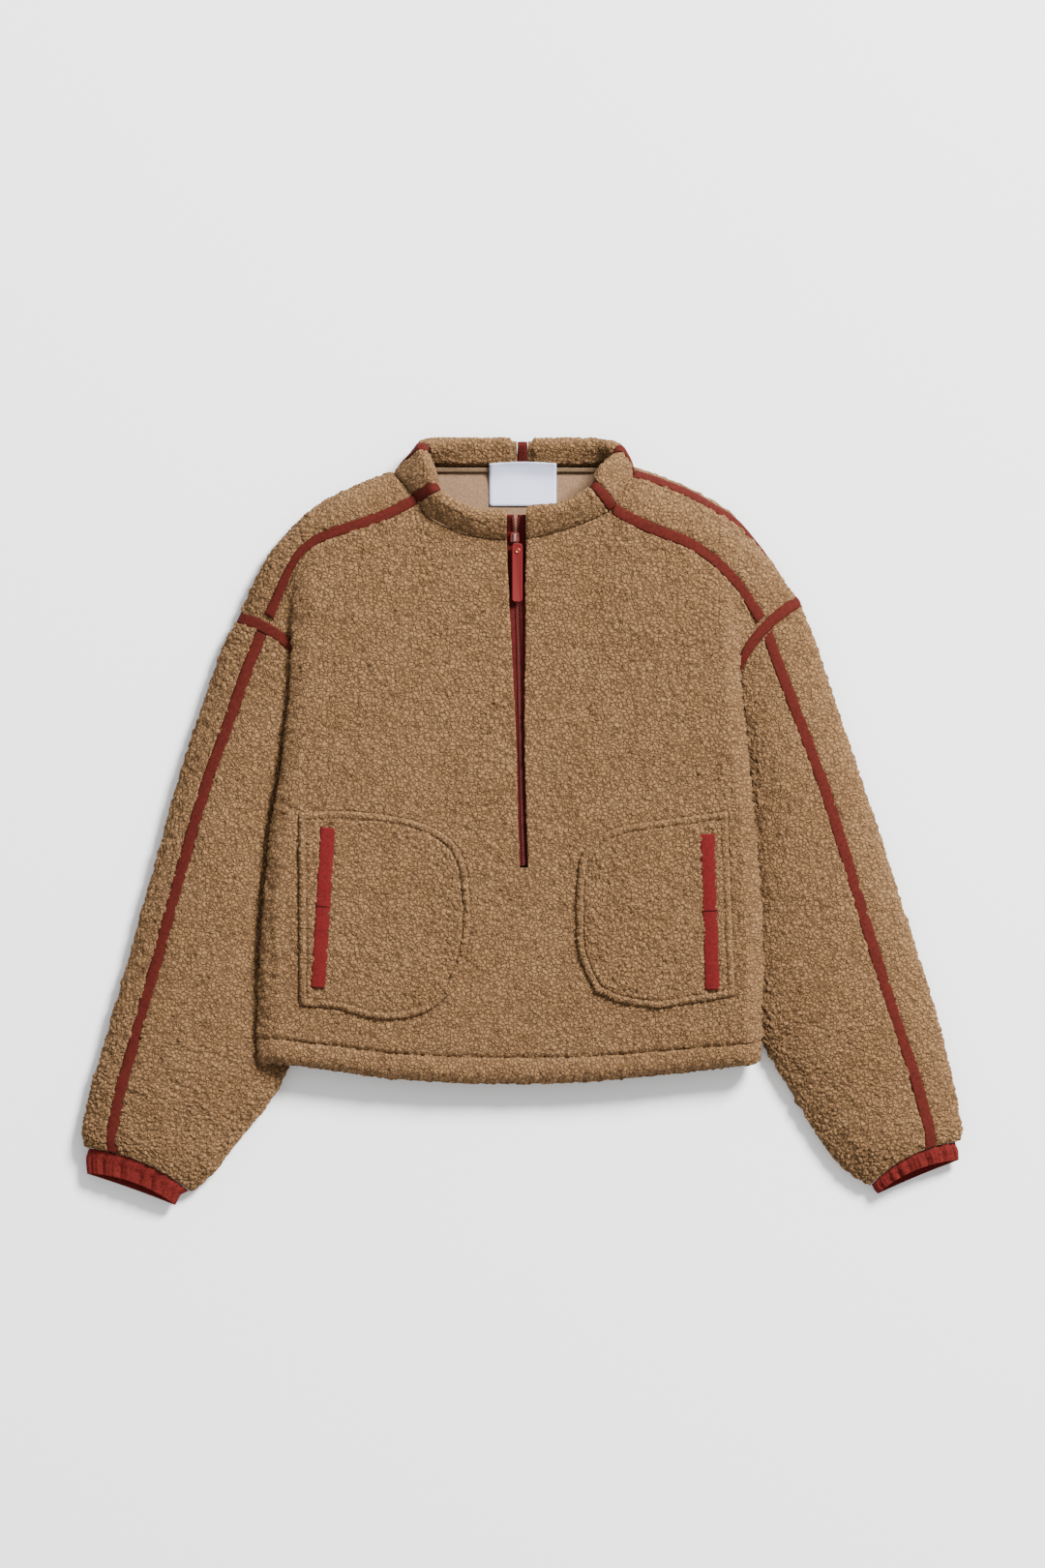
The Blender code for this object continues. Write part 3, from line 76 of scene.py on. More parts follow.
# Laid sleeve, from the armhole to its end. Columns: outer_x, outer_y, inner_x, inner_y, height, distance
# of the front seam from the outer edge.
SLEEVE = {
    "left": [
        (-270.5, 194.6, -191.4, 118.2, 30, 22),
        (-287, 164, -203, 92, 30, 27),
        (-306, 109, -217, 47, 30, 28),
        (-327, 45, -228, -11, 30, 26),
        (-350, -38, -234, -80, 30, 24),
        (-371, -112, -230, -139, 30, 25),
        (-390, -181, -219, -196, 30, 25),
        (-402, -222, -224, -230, 30, 26),
        (-411, -252, -242, -264, 30, 26),
        (-417, -277, -266, -294, 29, 27),
        (-420, -297, -293, -329, 28, 26),
        (-416, -309, -317, -351, 26, 24),
    ],
    "right": [
        (262.2, 211.1, 192, 104, 30, 37.5),
        (277, 173, 198, 82, 30, 40),
        (297, 114, 203, 42, 30, 38),
        (320, 45, 208, -10, 30, 35),
        (346, -34, 214, -72, 30, 36),
        (371, -112, 218, -130, 30, 38),
        (391, -176, 221, -176, 30, 39),
        (401, -213, 230, -211, 30, 37),
        (408, -242, 249, -244, 30, 34),
        (414, -273, 273, -284, 29, 31),
        (417, -294, 300, -323, 28, 28),
        (413, -303, 330, -345, 26, 25),
    ],
}


def along(rows, t):
    """Smooth curve through a table's rows; t from 0 to 1 runs from the first row to the last."""
    rows = np.asarray(rows, float)
    last = len(rows) - 1
    place = np.clip(np.asarray(t, float), 0, 1) * last
    i = np.minimum(place.astype(int), last - 1)
    f = (place - i)[..., None]
    slope = np.gradient(rows, axis=0)
    a, b, sa, sb = rows[i], rows[i + 1], slope[i], slope[i + 1]
    return (a * (1 + 2 * f) * (1 - f) ** 2 + sa * f * (1 - f) ** 2
            + b * f * f * (3 - 2 * f) - sb * f * f * (1 - f))


def unit(v):
    """Vectors of length 1."""
    return v / np.maximum(np.linalg.norm(v, axis=-1, keepdims=True), 1e-9)


def ease(x, low, high):
    """Smooth step from 0 at low to 1 at high."""
    f = np.clip((np.asarray(x, float) - low) / (high - low), 0, 1)
    return f * f * (3 - 2 * f)


def xyz(xy, z):
    """Points from plan positions and heights."""
    z = np.broadcast_to(z, xy.shape[:-1])
    return np.concatenate([xy, z[..., None]], axis=-1)


def laid_tube(half, height, a):
    """Cross-section of a laid tube: offset from its middle, height, and the direction out of its wall.

    a = 0 is the outer edge; up to 1 it runs over the top, an arc of an ellipse, to the inner edge; down to
    -1 it runs round the lower corner, flat along the floor, and round the inner corner. The inside of the
    wall is the same section with each of its half axes shorter by the cloth.
    """
    a = (np.asarray(a, float) + 1) % 2 - 1
    top = np.pi * np.clip(a, 0, 1)
    corner = np.pi / 2 * np.clip(-a / CORNER_SHARE, 0, 1)
    inner_corner = np.pi / 2 * np.clip((a + 1) / CORNER_SHARE, 0, 1)
    flat = np.clip((-a - CORNER_SHARE) / (1 - 2 * CORNER_SHARE), 0, 1)
    rise = np.sin(top)
    lift = np.where(top > np.pi / 2, rise * (1 - SLUMP + SLUMP * rise ** 2), rise)
    parts = [a >= 0, a > -CORNER_SHARE, a > CORNER_SHARE - 1]
    out = np.select(parts, [np.cos(top), np.cos(corner), 0 * a], -np.cos(inner_corner))
    up = np.select(parts, [lift, -np.sin(corner), 0 * a - 1], -np.sin(inner_corner))
    x = np.select(parts, [half * out, half - CORNER * (1 - out), (half - CORNER) * (1 - 2 * flat)],
                  CORNER * (1 + out) - half)
    z = LEVEL + np.where(a >= 0, height - LEVEL, LEVEL) * up
    return x, z, out, up


def tube_points(outer, inner, height, bow, a):
    """Points of a laid tube's section, bowed in plan by bow times 1 - x^2, and the ways out of its wall."""
    middle = (outer + inner) / 2
    span = outer - inner
    half = np.linalg.norm(span, axis=-1) / 2
    out = span / (2 * half[..., None])
    across = np.stack([-out[..., 1], out[..., 0]], axis=-1)
    across = across * np.where(across[..., 1:] < 0, -1, 1)
    x, z, wall_out, wall_up = laid_tube(half, height, a)
    share = x / half
    plan = middle + out * x[..., None] + across * (bow * (1 - share ** 2))[..., None]
    run = unit(out + across * (-2 * bow * share / half)[..., None])
    return xyz(plan, z), xyz(run * wall_out[..., None], wall_up)


def sleeve_points(side, s, a):
    """Sleeve surface: s from the armhole to the sleeve's end, a round the tube. The outer edge lies in by
    as much as the pile stands out, and the section bows up at both ends."""
    s, a = np.broadcast_arrays(np.asarray(s, float), np.asarray(a, float))
    row = along(SLEEVE[side], s)
    outer, inner = row[..., 0:2], row[..., 2:4]
    outward = unit(outer - inner)
    bow = ARM_BOW * (1 - ease(s, 0.0, 0.25)) + END_BOW * ease(s, 0.8, 1.0)
    return tube_points(outer - PILE_STAND * outward, inner, row[..., 4], bow, a)


def front_seam(side, s):
    """Place round the sleeve of the seam with the front, from its distance to the outer edge."""
    row = along(SLEEVE[side], s)
    half = np.linalg.norm(row[..., 0:2] - row[..., 2:4], axis=-1) / 2
    return np.arccos(1 - row[..., 5] / half) / np.pi


def underarm_seam(side, s):
    """Place round the sleeve of the underarm seam; on the left it shows near the cuff."""
    return -1.0 - (0.10 if side == "left" else 0.0) * ease(s, 0.6, 0.75)


def normals_of(points, up):
    """Unit normals of a grid of points, turned to the side of the vector up at its middle."""
    n = unit(np.cross(np.gradient(points, axis=0), np.gradient(points, axis=1)))
    middle = n[n.shape[0] // 2, n.shape[1] // 2]
    return n if middle @ np.asarray(up, float) > 0 else -n


def scramble(cell, seed):
    """A number from 0 to 1 for each cell: its three whole numbers multiplied, added and bit-mixed."""
    i = cell.astype(np.int64).astype(np.uint32)
    mixed = (i[..., 0] * np.uint32(374761393) + i[..., 1] * np.uint32(668265263)
             + i[..., 2] * np.uint32(2246822519) + np.uint32((seed * 3266489917) % 2 ** 32))
    mixed = (mixed ^ (mixed >> np.uint32(15))) * np.uint32(2654435761)
    mixed = (mixed ^ (mixed >> np.uint32(13))) * np.uint32(1274126177)
    return ((mixed ^ (mixed >> np.uint32(16))) & np.uint32(0xFFFFFF)) / float(0xFFFFFF)


def soft_noise(points, size, seed):
    """Smooth noise from -1 to 1: the eight corners of each cell of that size, mixed by smooth steps."""
    place = points / size
    cell = np.floor(place)
    f = place - cell
    f = f * f * (3 - 2 * f)
    total = np.zeros(points.shape[:-1])
    for corner in np.ndindex(2, 2, 2):
        share = np.prod(np.where(np.array(corner) == 1, f, 1 - f), axis=-1)
        total += share * scramble(cell + np.array(corner), seed)
    return 2 * total - 1


def tuft_field(points, size, seed):
    """Distances to the nearest and the second nearest of one random point in each cell, in cells."""
    place = points / size
    cell = np.floor(place)
    near = np.full(points.shape[:-1], 9.0)
    after = near.copy()
    for step in np.ndindex(3, 3, 3):
        other = cell + (np.array(step) - 1)
        centre = other + np.stack([scramble(other, seed + k) for k in range(3)], axis=-1)
        gap = np.linalg.norm(place - centre, axis=-1)
        after = np.minimum(after, np.maximum(near, gap))
        near = np.minimum(near, gap)
    return near, after


TUFT = 4.9               # from one knot of pile to the next
PILE = 3.9               # height of a full knot over the cloth


def pile_height(points):
    """Pile over each point, 0 to 1: knots of wool, each a dome parted from the next by a crack.

    The points are first pushed about by noise a little larger than a knot, which makes the cracks wind.
    A dome is 1 - exp(-6.5 d), where d is how much further the second knot is than the nearest. The pile is
    0.24 plus 0.64 of the dome, less up to 28 per cent where it is uneven, plus a little fine noise."""
    wander = np.stack([soft_noise(points, 7.0, seed) for seed in (3, 5, 8)], axis=-1)
    finer = np.stack([soft_noise(points, 3.1, seed) for seed in (13, 15, 18)], axis=-1)
    near, after = tuft_field(points + 2.3 * wander + 0.8 * finer, TUFT, 21)
    dome = 1 - np.exp(-6.5 * (after - near))
    uneven = 0.5 + 0.5 * soft_noise(points, 11.0, 31)
    fibres = 0.05 * soft_noise(points, 3.4, 41)
    return np.clip(0.24 + 0.64 * dome * (0.72 + 0.28 * uneven) + fibres, 0, 1)


def cloth_swell(points):
    """Slow rise and fall of the lying cloth, in millimetres."""
    return 0.9 * soft_noise(points, 62.0, 51) + 0.5 * soft_noise(points, 27.0, 57)


def line_distance(points, lines, reach=14.0):
    """Distance from points to the nearest of many points along some lines, up to reach."""
    marks = np.concatenate(lines)
    flat = points.reshape(-1, 3)
    found = np.full(len(flat), reach)
    low, high = marks.min(axis=0) - reach, marks.max(axis=0) + reach
    inside = np.nonzero(((flat > low) & (flat < high)).all(axis=1))[0]
    for start in range(0, len(inside), 8000):
        part = inside[start:start + 8000]
        gap = flat[part][:, None] - marks[None]
        found[part] = np.minimum(np.sqrt((gap * gap).sum(axis=-1).min(axis=1)), reach)
    return found.reshape(points.shape[:-1])


def dense_line(points, step=2.5):
    """Points about a step apart along the polyline through points."""
    length = np.concatenate([[0], np.cumsum(np.linalg.norm(np.diff(points, axis=0), axis=1))])
    where = np.linspace(0, length[-1], max(2, int(length[-1] / step)))
    return np.stack([np.interp(where, length, axis) for axis in points.T], axis=-1)


def linear(hex_code):
    """sRGB hex to linear colour."""
    c = np.array([int(hex_code[i:i + 2], 16) for i in (0, 2, 4)]) / 255
    return (*np.where(c <= 0.04045, c / 12.92, ((c + 0.055) / 1.055) ** 2.4).tolist(), 1.0)


def add_node(tree, kind, values=None, links=None, stops=(), **settings):
    """A shader node with its settings, its input values, the sockets that feed it, and a ramp's (place, hex)
    stops."""
    node = tree.nodes.new(kind)
    for name, value in settings.items():
        setattr(node, name, value)
    for name, value in (values or {}).items():
        node.inputs[name].default_value = value
    for name, socket in (links or {}).items():
        tree.links.new(socket, node.inputs[name])
    while stops and len(node.color_ramp.elements) < len(stops):
        node.color_ramp.elements.new(0.5)
    for mark, (place, code) in zip(node.color_ramp.elements if stops else (), stops):
        mark.position = place
        mark.color = linear(code)
    return node


def new_material(name, values):
    """A material whose shader has those values on its own sockets: (material, tree, shader, Object spot)."""
    made = bpy.data.materials.new(name)
    made.use_nodes = True
    shader = made.node_tree.nodes["Principled BSDF"]
    for socket, value in values.items():
        shader.inputs[socket].default_value = value
    return made, made.node_tree, shader, add_node(made.node_tree, "ShaderNodeTexCoord").outputs["Object"]


def coat(tree, shader, tone, stops, height, strength, depth):
    """Base colour from a ramp over tone, and relief from height, depth metres deep. Returns the colour."""
    colour = add_node(tree, "ShaderNodeValToRGB", links={"Fac": tone}, stops=stops).outputs["Color"]
    tree.links.new(colour, shader.inputs["Base Color"])
    bump = add_node(tree, "ShaderNodeBump", {"Strength": strength, "Distance": depth}, {"Height": height})
    tree.links.new(bump.outputs[0], shader.inputs["Normal"])
    return colour


def fleece_material():
    """Brushed polyester pile: matt, with a soft sheen at grazing angles, and painted shade between its knots.

    The knots' height comes from the mesh. Cracks 3.7 mm apart and fibres 0.9 mm apart come from here; real
    fibres are finer than the render can show. Tone is 0.54 crack + 0.36 height + 0.22 fibres; through the
    ramp of browns it paints shade dark into the cracks and where the pile is low, and light on the knots'
    tops."""
    made, tree, shader, spot = new_material("brushed_polyester_pile", {
        "Roughness": 0.95, "Specular IOR Level": 0.1, "Sheen Weight": 0.2, "Sheen Roughness": 0.6,
        "Sheen Tint": linear("DCB181")})
    height = add_node(tree, "ShaderNodeAttribute", attribute_name="pile").outputs["Fac"]
    wind = add_node(tree, "ShaderNodeTexNoise", {"Scale": 210.0, "Detail": 2.0}, {"Vector": spot})
    pushed = add_node(tree, "ShaderNodeVectorMath", {1: (0.0046, 0.0046, 0.0046)},
                      {0: wind.outputs["Color"]}, operation="MULTIPLY")
    pushed = add_node(tree, "ShaderNodeVectorMath", links={0: spot, 1: pushed.outputs[0]}, operation="ADD")
    cracks = add_node(tree, "ShaderNodeTexVoronoi", {"Scale": 270.0}, {"Vector": pushed.outputs[0]},
                      feature="DISTANCE_TO_EDGE")
    fibres = add_node(tree, "ShaderNodeTexNoise", {"Scale": 1100.0, "Detail": 3.0, "Roughness": 0.7},
                      {"Vector": pushed.outputs[0]})
    patches = add_node(tree, "ShaderNodeTexNoise", {"Scale": 26.0, "Detail": 3.0}, {"Vector": spot})
    open_crack = add_node(tree, "ShaderNodeMapRange", {"From Min": 0.0, "From Max": 0.2},
                          {"Value": cracks.outputs[0]})
    # Painted shade: the colour is darkest in the cracks and where the pile is low, lightest on the knots'
    # tops.
    low = add_node(tree, "ShaderNodeMath", {1: 0.36}, {0: height}, operation="MULTIPLY")
    tone = add_node(tree, "ShaderNodeMath", {1: 0.54}, {0: open_crack.outputs[0], 2: low.outputs[0]},
                    operation="MULTIPLY_ADD")
    grain = add_node(tree, "ShaderNodeMath", {1: 0.22}, {0: fibres.outputs["Fac"], 2: tone.outputs[0]},
                     operation="MULTIPLY_ADD")
    relief = add_node(tree, "ShaderNodeMath", {1: 0.35}, {0: fibres.outputs["Fac"], 2: open_crack.outputs[0]},
                      operation="MULTIPLY_ADD")
    # The dark end of these browns is painted shade in the cracks, the light end painted light on the knots'
    # tops.
    browns = [(0.16, "22160D"), (0.44, "563F2A"), (0.72, "6E5236"), (1.0, "7D5F40")]
    colour = coat(tree, shader, grain.outputs[0], browns, relief.outputs[0], 1.0, 0.0011)
    tint = add_node(tree, "ShaderNodeValToRGB", links={"Fac": patches.outputs["Fac"]},
                    stops=[(0.35, "F2EEEA"), (0.65, "FFFFFF")])
    mix = add_node(tree, "ShaderNodeMix", {"Factor": 1.0}, {6: colour, 7: tint.outputs["Color"]},
                   data_type="RGBA", blend_type="MULTIPLY")
    tree.links.new(mix.outputs[2], shader.inputs["Base Color"])
    return made


def backing_material():
    """The knitted back of the fleece: smooth and matt, its ribs drawn 2.6 mm apart, coarse enough to show."""
    made, tree, shader, spot = new_material("knitted_polyester_backing",
                                            {"Roughness": 0.9, "Specular IOR Level": 0.15})
    ribs = add_node(tree, "ShaderNodeTexWave", {"Scale": 122.0, "Distortion": 1.2, "Detail": 2.0},
                    {"Vector": spot})
    fluff = add_node(tree, "ShaderNodeTexNoise", {"Scale": 420.0, "Detail": 4.0}, {"Vector": spot})
    both = add_node(tree, "ShaderNodeMath", {1: 0.3}, {0: ribs.outputs["Fac"], 2: fluff.outputs["Fac"]},
                    operation="MULTIPLY_ADD")
    browns = [(0.25, "6B523E"), (0.75, "80664F")]
    coat(tree, shader, fluff.outputs["Fac"], browns, both.outputs[0], 0.5, 0.0005)
    return made


FLEECE, BACKING = fleece_material(), backing_material()


def mesh_piece(name, points, faces, materials, slots=None, marks=None, uv=None):
    """A smooth mesh from millimetre points and an array of quads or a list of faces."""
    mesh = bpy.data.meshes.new(name)
    mesh.from_pydata((points * MM).tolist(), [], faces.tolist() if isinstance(faces, np.ndarray) else faces)
    for made in materials:
        mesh.materials.append(made)
    if slots is not None:
        mesh.polygons.foreach_set("material_index", slots)
    for label, values in (marks or {}).items():
        mesh.attributes.new(label, "FLOAT", "POINT").data.foreach_set("value", values.astype(np.float32))
    if uv is not None:
        corners = np.empty(len(mesh.loops), np.int32)
        mesh.loops.foreach_get("vertex_index", corners)
        mesh.uv_layers.new(name="UVMap").data.foreach_set("uv", uv[corners].astype(np.float32).ravel())
    mesh.shade_smooth()
    mesh.update()
    item = bpy.data.objects.new(name, mesh)
    bpy.context.scene.collection.objects.link(item)
    return item


def grid_quads(index):
    """Quads of a grid of vertex numbers."""
    return np.stack([index[:-1, :-1], index[:-1, 1:], index[1:, 1:], index[1:, :-1]], axis=-1)


COARSE = 4               # one cell of a piece's inner grid for this many of its outer grid
PARTED = (3.9, 5.9)      # beside a taped seam's line the pile rises again between these distances
LEAN = 0.35              # how far the top of a knot may lean to one side, against its height
ON_FLOOR = 0.02          # lowest height of the pile
BACKING_ON_FLOOR = 0.05


def rim_faces(big, small, cells):
    """Triangles that join the outer grid to the inner one along each open side of the kept cells.

    Each of the outer grid's four short edges along a cell meets the nearer end of the cell's long edge, and
    one triangle on the long edge shuts the gap between them."""
    rims = []
    padded = np.pad(cells, 1)
    steps = np.arange(COARSE + 1)
    for dr, dc in ((0, -1), (0, 1), (-1, 0), (1, 0)):
        beyond = padded[1 + dr:padded.shape[0] - 1 + dr, 1 + dc:padded.shape[1] - 1 + dc]
        r, c = np.nonzero(cells & ~beyond)
        r0, c0 = r + (dr > 0), c + (dc > 0)
        ends = small[r0, c0], small[r0 + (dr == 0), c0 + (dc == 0)]
        edge = big[(r0 * COARSE)[:, None] + (dr == 0) * steps, (c0 * COARSE)[:, None] + (dc == 0) * steps]
        for k in range(COARSE):
            rims.append(np.stack([edge[:, k], edge[:, k + 1], ends[k >= COARSE / 2]], axis=-1))
        rims.append(np.stack([edge[:, COARSE // 2], ends[1], ends[0]], axis=-1))
    return np.concatenate(rims)


def pile_piece(name, base, inward, up, tapes=(), hold=1.0, keep=None):
    """A cut piece of fleece: a dense outer grid raised by its pile, a coarser inner grid 4 mm in, and a rim.

    base is the smooth outer surface and inward the way to its back. Each outer point moves out along its
    normal by pile times hold, and the pile gives way to a tape within half the tape's width of its line."""
    tuft = pile_height(base)
    rise = PILE * tuft * hold
    if len(tapes):
        ragged = 1.5 * soft_noise(base, 3.4, 71) + 0.8 * soft_noise(base, 8.0, 73)
        rise = rise * ease(line_distance(base, tapes) + ragged, *PARTED)
    lean = np.stack([soft_noise(base, 5.2, seed) for seed in (81, 83, 85)], axis=-1)
    outer = base + normals_of(base, up) * rise[..., None] + lean * (LEAN * rise)[..., None]
    outer[..., 2] = np.maximum(outer[..., 2], ON_FLOOR)
    inner = (base + inward * CLOTH)[::COARSE, ::COARSE]
    inner[..., 2] = np.maximum(inner[..., 2], BACKING_ON_FLOOR)
    big = np.arange(base[..., 0].size).reshape(base.shape[:2])
    small = big.size + np.arange(inner[..., 0].size).reshape(inner.shape[:2])
    cells = np.ones((inner.shape[0] - 1, inner.shape[1] - 1), bool) if keep is None else keep
    top = grid_quads(big)[np.repeat(np.repeat(cells, COARSE, axis=0), COARSE, axis=1)]
    under = grid_quads(small)[cells][:, ::-1]
    points = np.concatenate([outer.reshape(-1, 3), inner.reshape(-1, 3)])
    used = np.zeros(len(points), bool)
    used[np.concatenate([top.ravel(), under.ravel()])] = True
    place = np.cumsum(used) - 1
    faces = place[top].tolist() + place[under].tolist() + place[rim_faces(big, small, cells)].tolist()
    slots = np.zeros(len(faces), np.int32)
    slots[len(top):len(top) + len(under)] = 1
    # The pile's height goes to the fleece material, whose colour paints shade where it is low and light where
    # it is high.
    pile = np.concatenate([tuft.ravel(), np.zeros(inner[..., 0].size)])
    item = mesh_piece(name, points[used], faces, [FLEECE, BACKING], slots, {"pile": pile[used]})
    turn_out(item)
    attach(item, BODY)
    return item


def turn_out(item):
    """Makes every face point out, whichever way the grid ran."""
    work = bmesh.new()
    work.from_mesh(item.data)
    bmesh.ops.recalc_face_normals(work, faces=work.faces)
    work.to_mesh(item.data)
    work.free()


def counts(length, spacing):
    """How many grid points a length gets, so that the coarse grid fits in them."""
    return COARSE * max(1, int(round(length / (spacing * FINE * COARSE)))) + 1


SLEEVE_LENGTH = 560
SWELL_ABOVE = 8.0        # only cloth this far over the floor swells


def sleeve_pieces(side, tapes):
    """The front, top and back of a sleeve between their seams, from the armhole to the cuff."""
    for name, spacing, width in (("front", 1.5, 118.0), ("top", 1.5, 60.0), ("back", 3.4, 150.0)):
        s = np.linspace(0, 1, counts(SLEEVE_LENGTH, spacing))[:, None]
        share = np.linspace(0, 1, counts(width, spacing))[None, :]
        seam, under = front_seam(side, s), underarm_seam(side, s)
        start, end = {"front": (seam, under + 2), "top": (BACK_SEAM + 0 * s, seam),
                      "back": (under, BACK_SEAM)}[name]
        base, out = sleeve_points(side, s, start + (end - start) * share)
        up = (0, 0, -1) if name == "back" else UP
        base[..., 2] += np.where(base[..., 2] > SWELL_ABOVE, cloth_swell(base), 0)
        hold = ease(s + 0 * share, 1.0, 0.985) * 0.5 + 0.5
        item = pile_piece(f"fleece_sleeve_{name}_{side}", base, -out, up, tapes, hold)
        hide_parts(f"sleeve_{name}_{side}")


def sleeve_lines(side):
    """Lines of the sleeve's two taped seams and of its armhole seam."""
    s = np.linspace(0, 1, 60)
    a = np.linspace(-1, 1, 121)
    front, _ = sleeve_points(side, s, front_seam(side, s))
    back, _ = sleeve_points(side, s, BACK_SEAM + 0 * s)
    hole, _ = sleeve_points(side, 0 * a, a)
    return [dense_line(front), dense_line(back), dense_line(hole)]


SEAM_LINES = {side: sleeve_lines(side) for side in SIDES}
for side in SIDES:
    sleeve_pieces(side, SEAM_LINES[side])

# ---- shoulder strips --------------------------------------------------------------------------------
# A strip of the same fleece runs over each shoulder, between the front's seam and the back's, from the
# collar to the armhole. Both seams lie under tape.

HALF_TUBE = 55.0         # half width of the laid tube that the strip is a part of
YOKE = (62, 215)         # width and length of the strip

# Seam between the front and the shoulder strip, from the collar to the armhole, and the garment's outline
# beside it. Columns: front_x, front_y, side_x, side_y, height of the laid shoulder, place of the back seam.
SHOULDER = {
    "left": [
        (-101, 307, -125, 332.5, 41, -0.085),
        (-125, 294, -152, 323, 42, -0.085),
        (-151, 284, -178, 311, 42, -0.085),
        (-177, 276, -203, 296, 41, -0.085),
        (-198, 267, -223, 276, 39, -0.085),
        (-214, 253, -240, 256, 37, -0.085),
        (-226, 234, -254, 232, 34, -0.085),
        (-237, 211, -263, 212, 32, -0.085),
        (-249, 187, -270.5, 194.6, 30, -0.085),
    ],
    "right": [
        (85, 297, 108, 336, 41, 0.125),
        (105, 286, 133, 328, 42, 0.125),
        (128, 276, 157, 318, 42, 0.12),
        (152, 267, 182, 303.5, 41, 0.11),
        (174, 254, 203, 288.5, 39, 0.08),
        (193, 237, 224, 264, 37, 0.01),
        (207, 222, 242, 239, 34, -0.06),
        (220, 203, 252, 223, 32, -0.085),
        (232, 186, 262.2, 211.1, 30, -0.085),
    ],
}
# Where along that seam the front's side fold starts.
FOLD_START = {"left": 0.475, "right": 0.60}


def shoulder_points(side, t, q):
    """Shoulder strip and the back's turned edge: t from collar to armhole, q from the front seam at 0 to
    the back seam at 1 and on to the floor at 2. From t = 0.45 a smooth step moves its own tube on to the
    sleeve's."""
    t, q = np.broadcast_arrays(np.asarray(t, float), np.asarray(q, float))
    own, own_normal = shoulder_tube(side, t, q)
    last, last_normal = shoulder_tube(side, np.ones_like(t), q)
    a_front = front_seam(side, np.zeros_like(t))
    a = np.where(q <= 1, a_front + (BACK_SEAM - a_front) * q,
                 BACK_SEAM + (-CORNER_SHARE - BACK_SEAM) * (q - 1))
    arm, arm_normal = sleeve_points(side, np.zeros_like(t), a)
    blend = ease(t, 0.45, 1.0)[..., None]
    return own + (arm - last) * blend, own_normal + (arm_normal - last_normal) * blend


def shoulder_tube(side, t, q):
    """The same strip without its blend into the armhole."""
    row = along(SHOULDER[side], t)
    front, outline = row[..., 0:2], row[..., 2:4]
    inward = unit(front - outline)
    reach = np.linalg.norm(front - outline, axis=-1)
    outer = outline + PILE_STAND * inward
    inner = outer + 2 * HALF_TUBE * inward
    a_front = np.arccos(1 - (reach - PILE_STAND) / HALF_TUBE) / np.pi
    a_back = row[..., 5]
    a_own = np.where(q <= 1, a_front + (a_back - a_front) * q,
                     a_back + (-CORNER_SHARE - a_back) * (q - 1))
    return tube_points(outer, inner, row[..., 4], np.zeros_like(t), a_own)


def shoulder_lines(side):
    """Lines of the shoulder's front and back seams."""
    t = np.linspace(0, 1, 60)
    return [dense_line(shoulder_points(side, t, q)[0]) for q in (0.0, 1.0)]


for side in SIDES:
    SEAM_LINES[side] += shoulder_lines(side)
    t = np.linspace(0, 1, counts(YOKE[1], 1.4))[:, None]
    q = np.linspace(0, 1, counts(YOKE[0], 1.4))[None, :]
    base, out = shoulder_points(side, t, q)
    base[..., 2] += np.where(base[..., 2] > SWELL_ABOVE, cloth_swell(base), 0)
    hold = 0.45 + 0.55 * ease(t + 0 * q, 0.0, 0.02)
    piece = pile_piece(f"fleece_shoulder_{side}", base, -out, UP, SEAM_LINES[side], hold)
    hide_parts(f"shoulder_{side}")

# ---- front ------------------------------------------------------------------------------------------
# The front is cut in one piece with a slit for the zip. It bulges a little, rolls over at each side and
# tucks in beside the sleeve. Its hem is turned up and stitched 24 mm above the edge, a groove in the pile.

# Side of the front below the underarm, from the hem up. Columns: y, then x and z of the crest, of the
# outermost fold, of the ledge that lies over the sleeve, of the foot beside the sleeve, and x of the side
# seam, where front and back meet on the floor.
SIDE = {
    "left": [
        (-229, -238, 36, -250, 29, -237, 24, -214, 9, -203),
        (-200, -240, 38, -252, 30, -238, 25, -211, 9, -200),
        (-170, -239, 40, -251, 31, -239, 25, -214, 9, -203),
        (-138, -236, 41, -249, 32, -240, 26, -222, 9, -211),
        (-92, -233, 42, -246, 33, -240, 25, -226, 9, -215),
        (-44, -229, 42, -242, 33, -236, 25, -224, 9, -213),
        (2, -224, 42, -237, 33, -231, 25, -219, 9, -208),
        (48, -215, 43, -229, 34, -222, 26, -209, 10, -198),
        (92, -209, 43, -224, 35, -216, 28, -197, 11, -185),
    ],
    "right": [
        (-225, 209, 36, 223, 27, 221, 18, 216, 6, 204),
        (-200, 210, 38, 224, 28, 222, 19, 217, 7, 205),
        (-170, 210, 40, 224, 30, 221, 21, 215, 8, 203),
        (-138, 212, 41, 226, 31, 221, 23, 213, 9, 202),
        (-92, 211, 42, 225, 33, 219, 24, 210, 9, 199),
        (-44, 208, 42, 221.5, 33, 216, 25, 206, 9, 195),
        (2, 204, 42, 217.5, 33, 212, 25, 201.5, 9, 190),
        (48, 200, 43, 213, 34, 207, 26, 197, 10, 186),
        (92, 195, 43, 208.5, 35, 202, 28, 190, 11, 179),
    ],
}
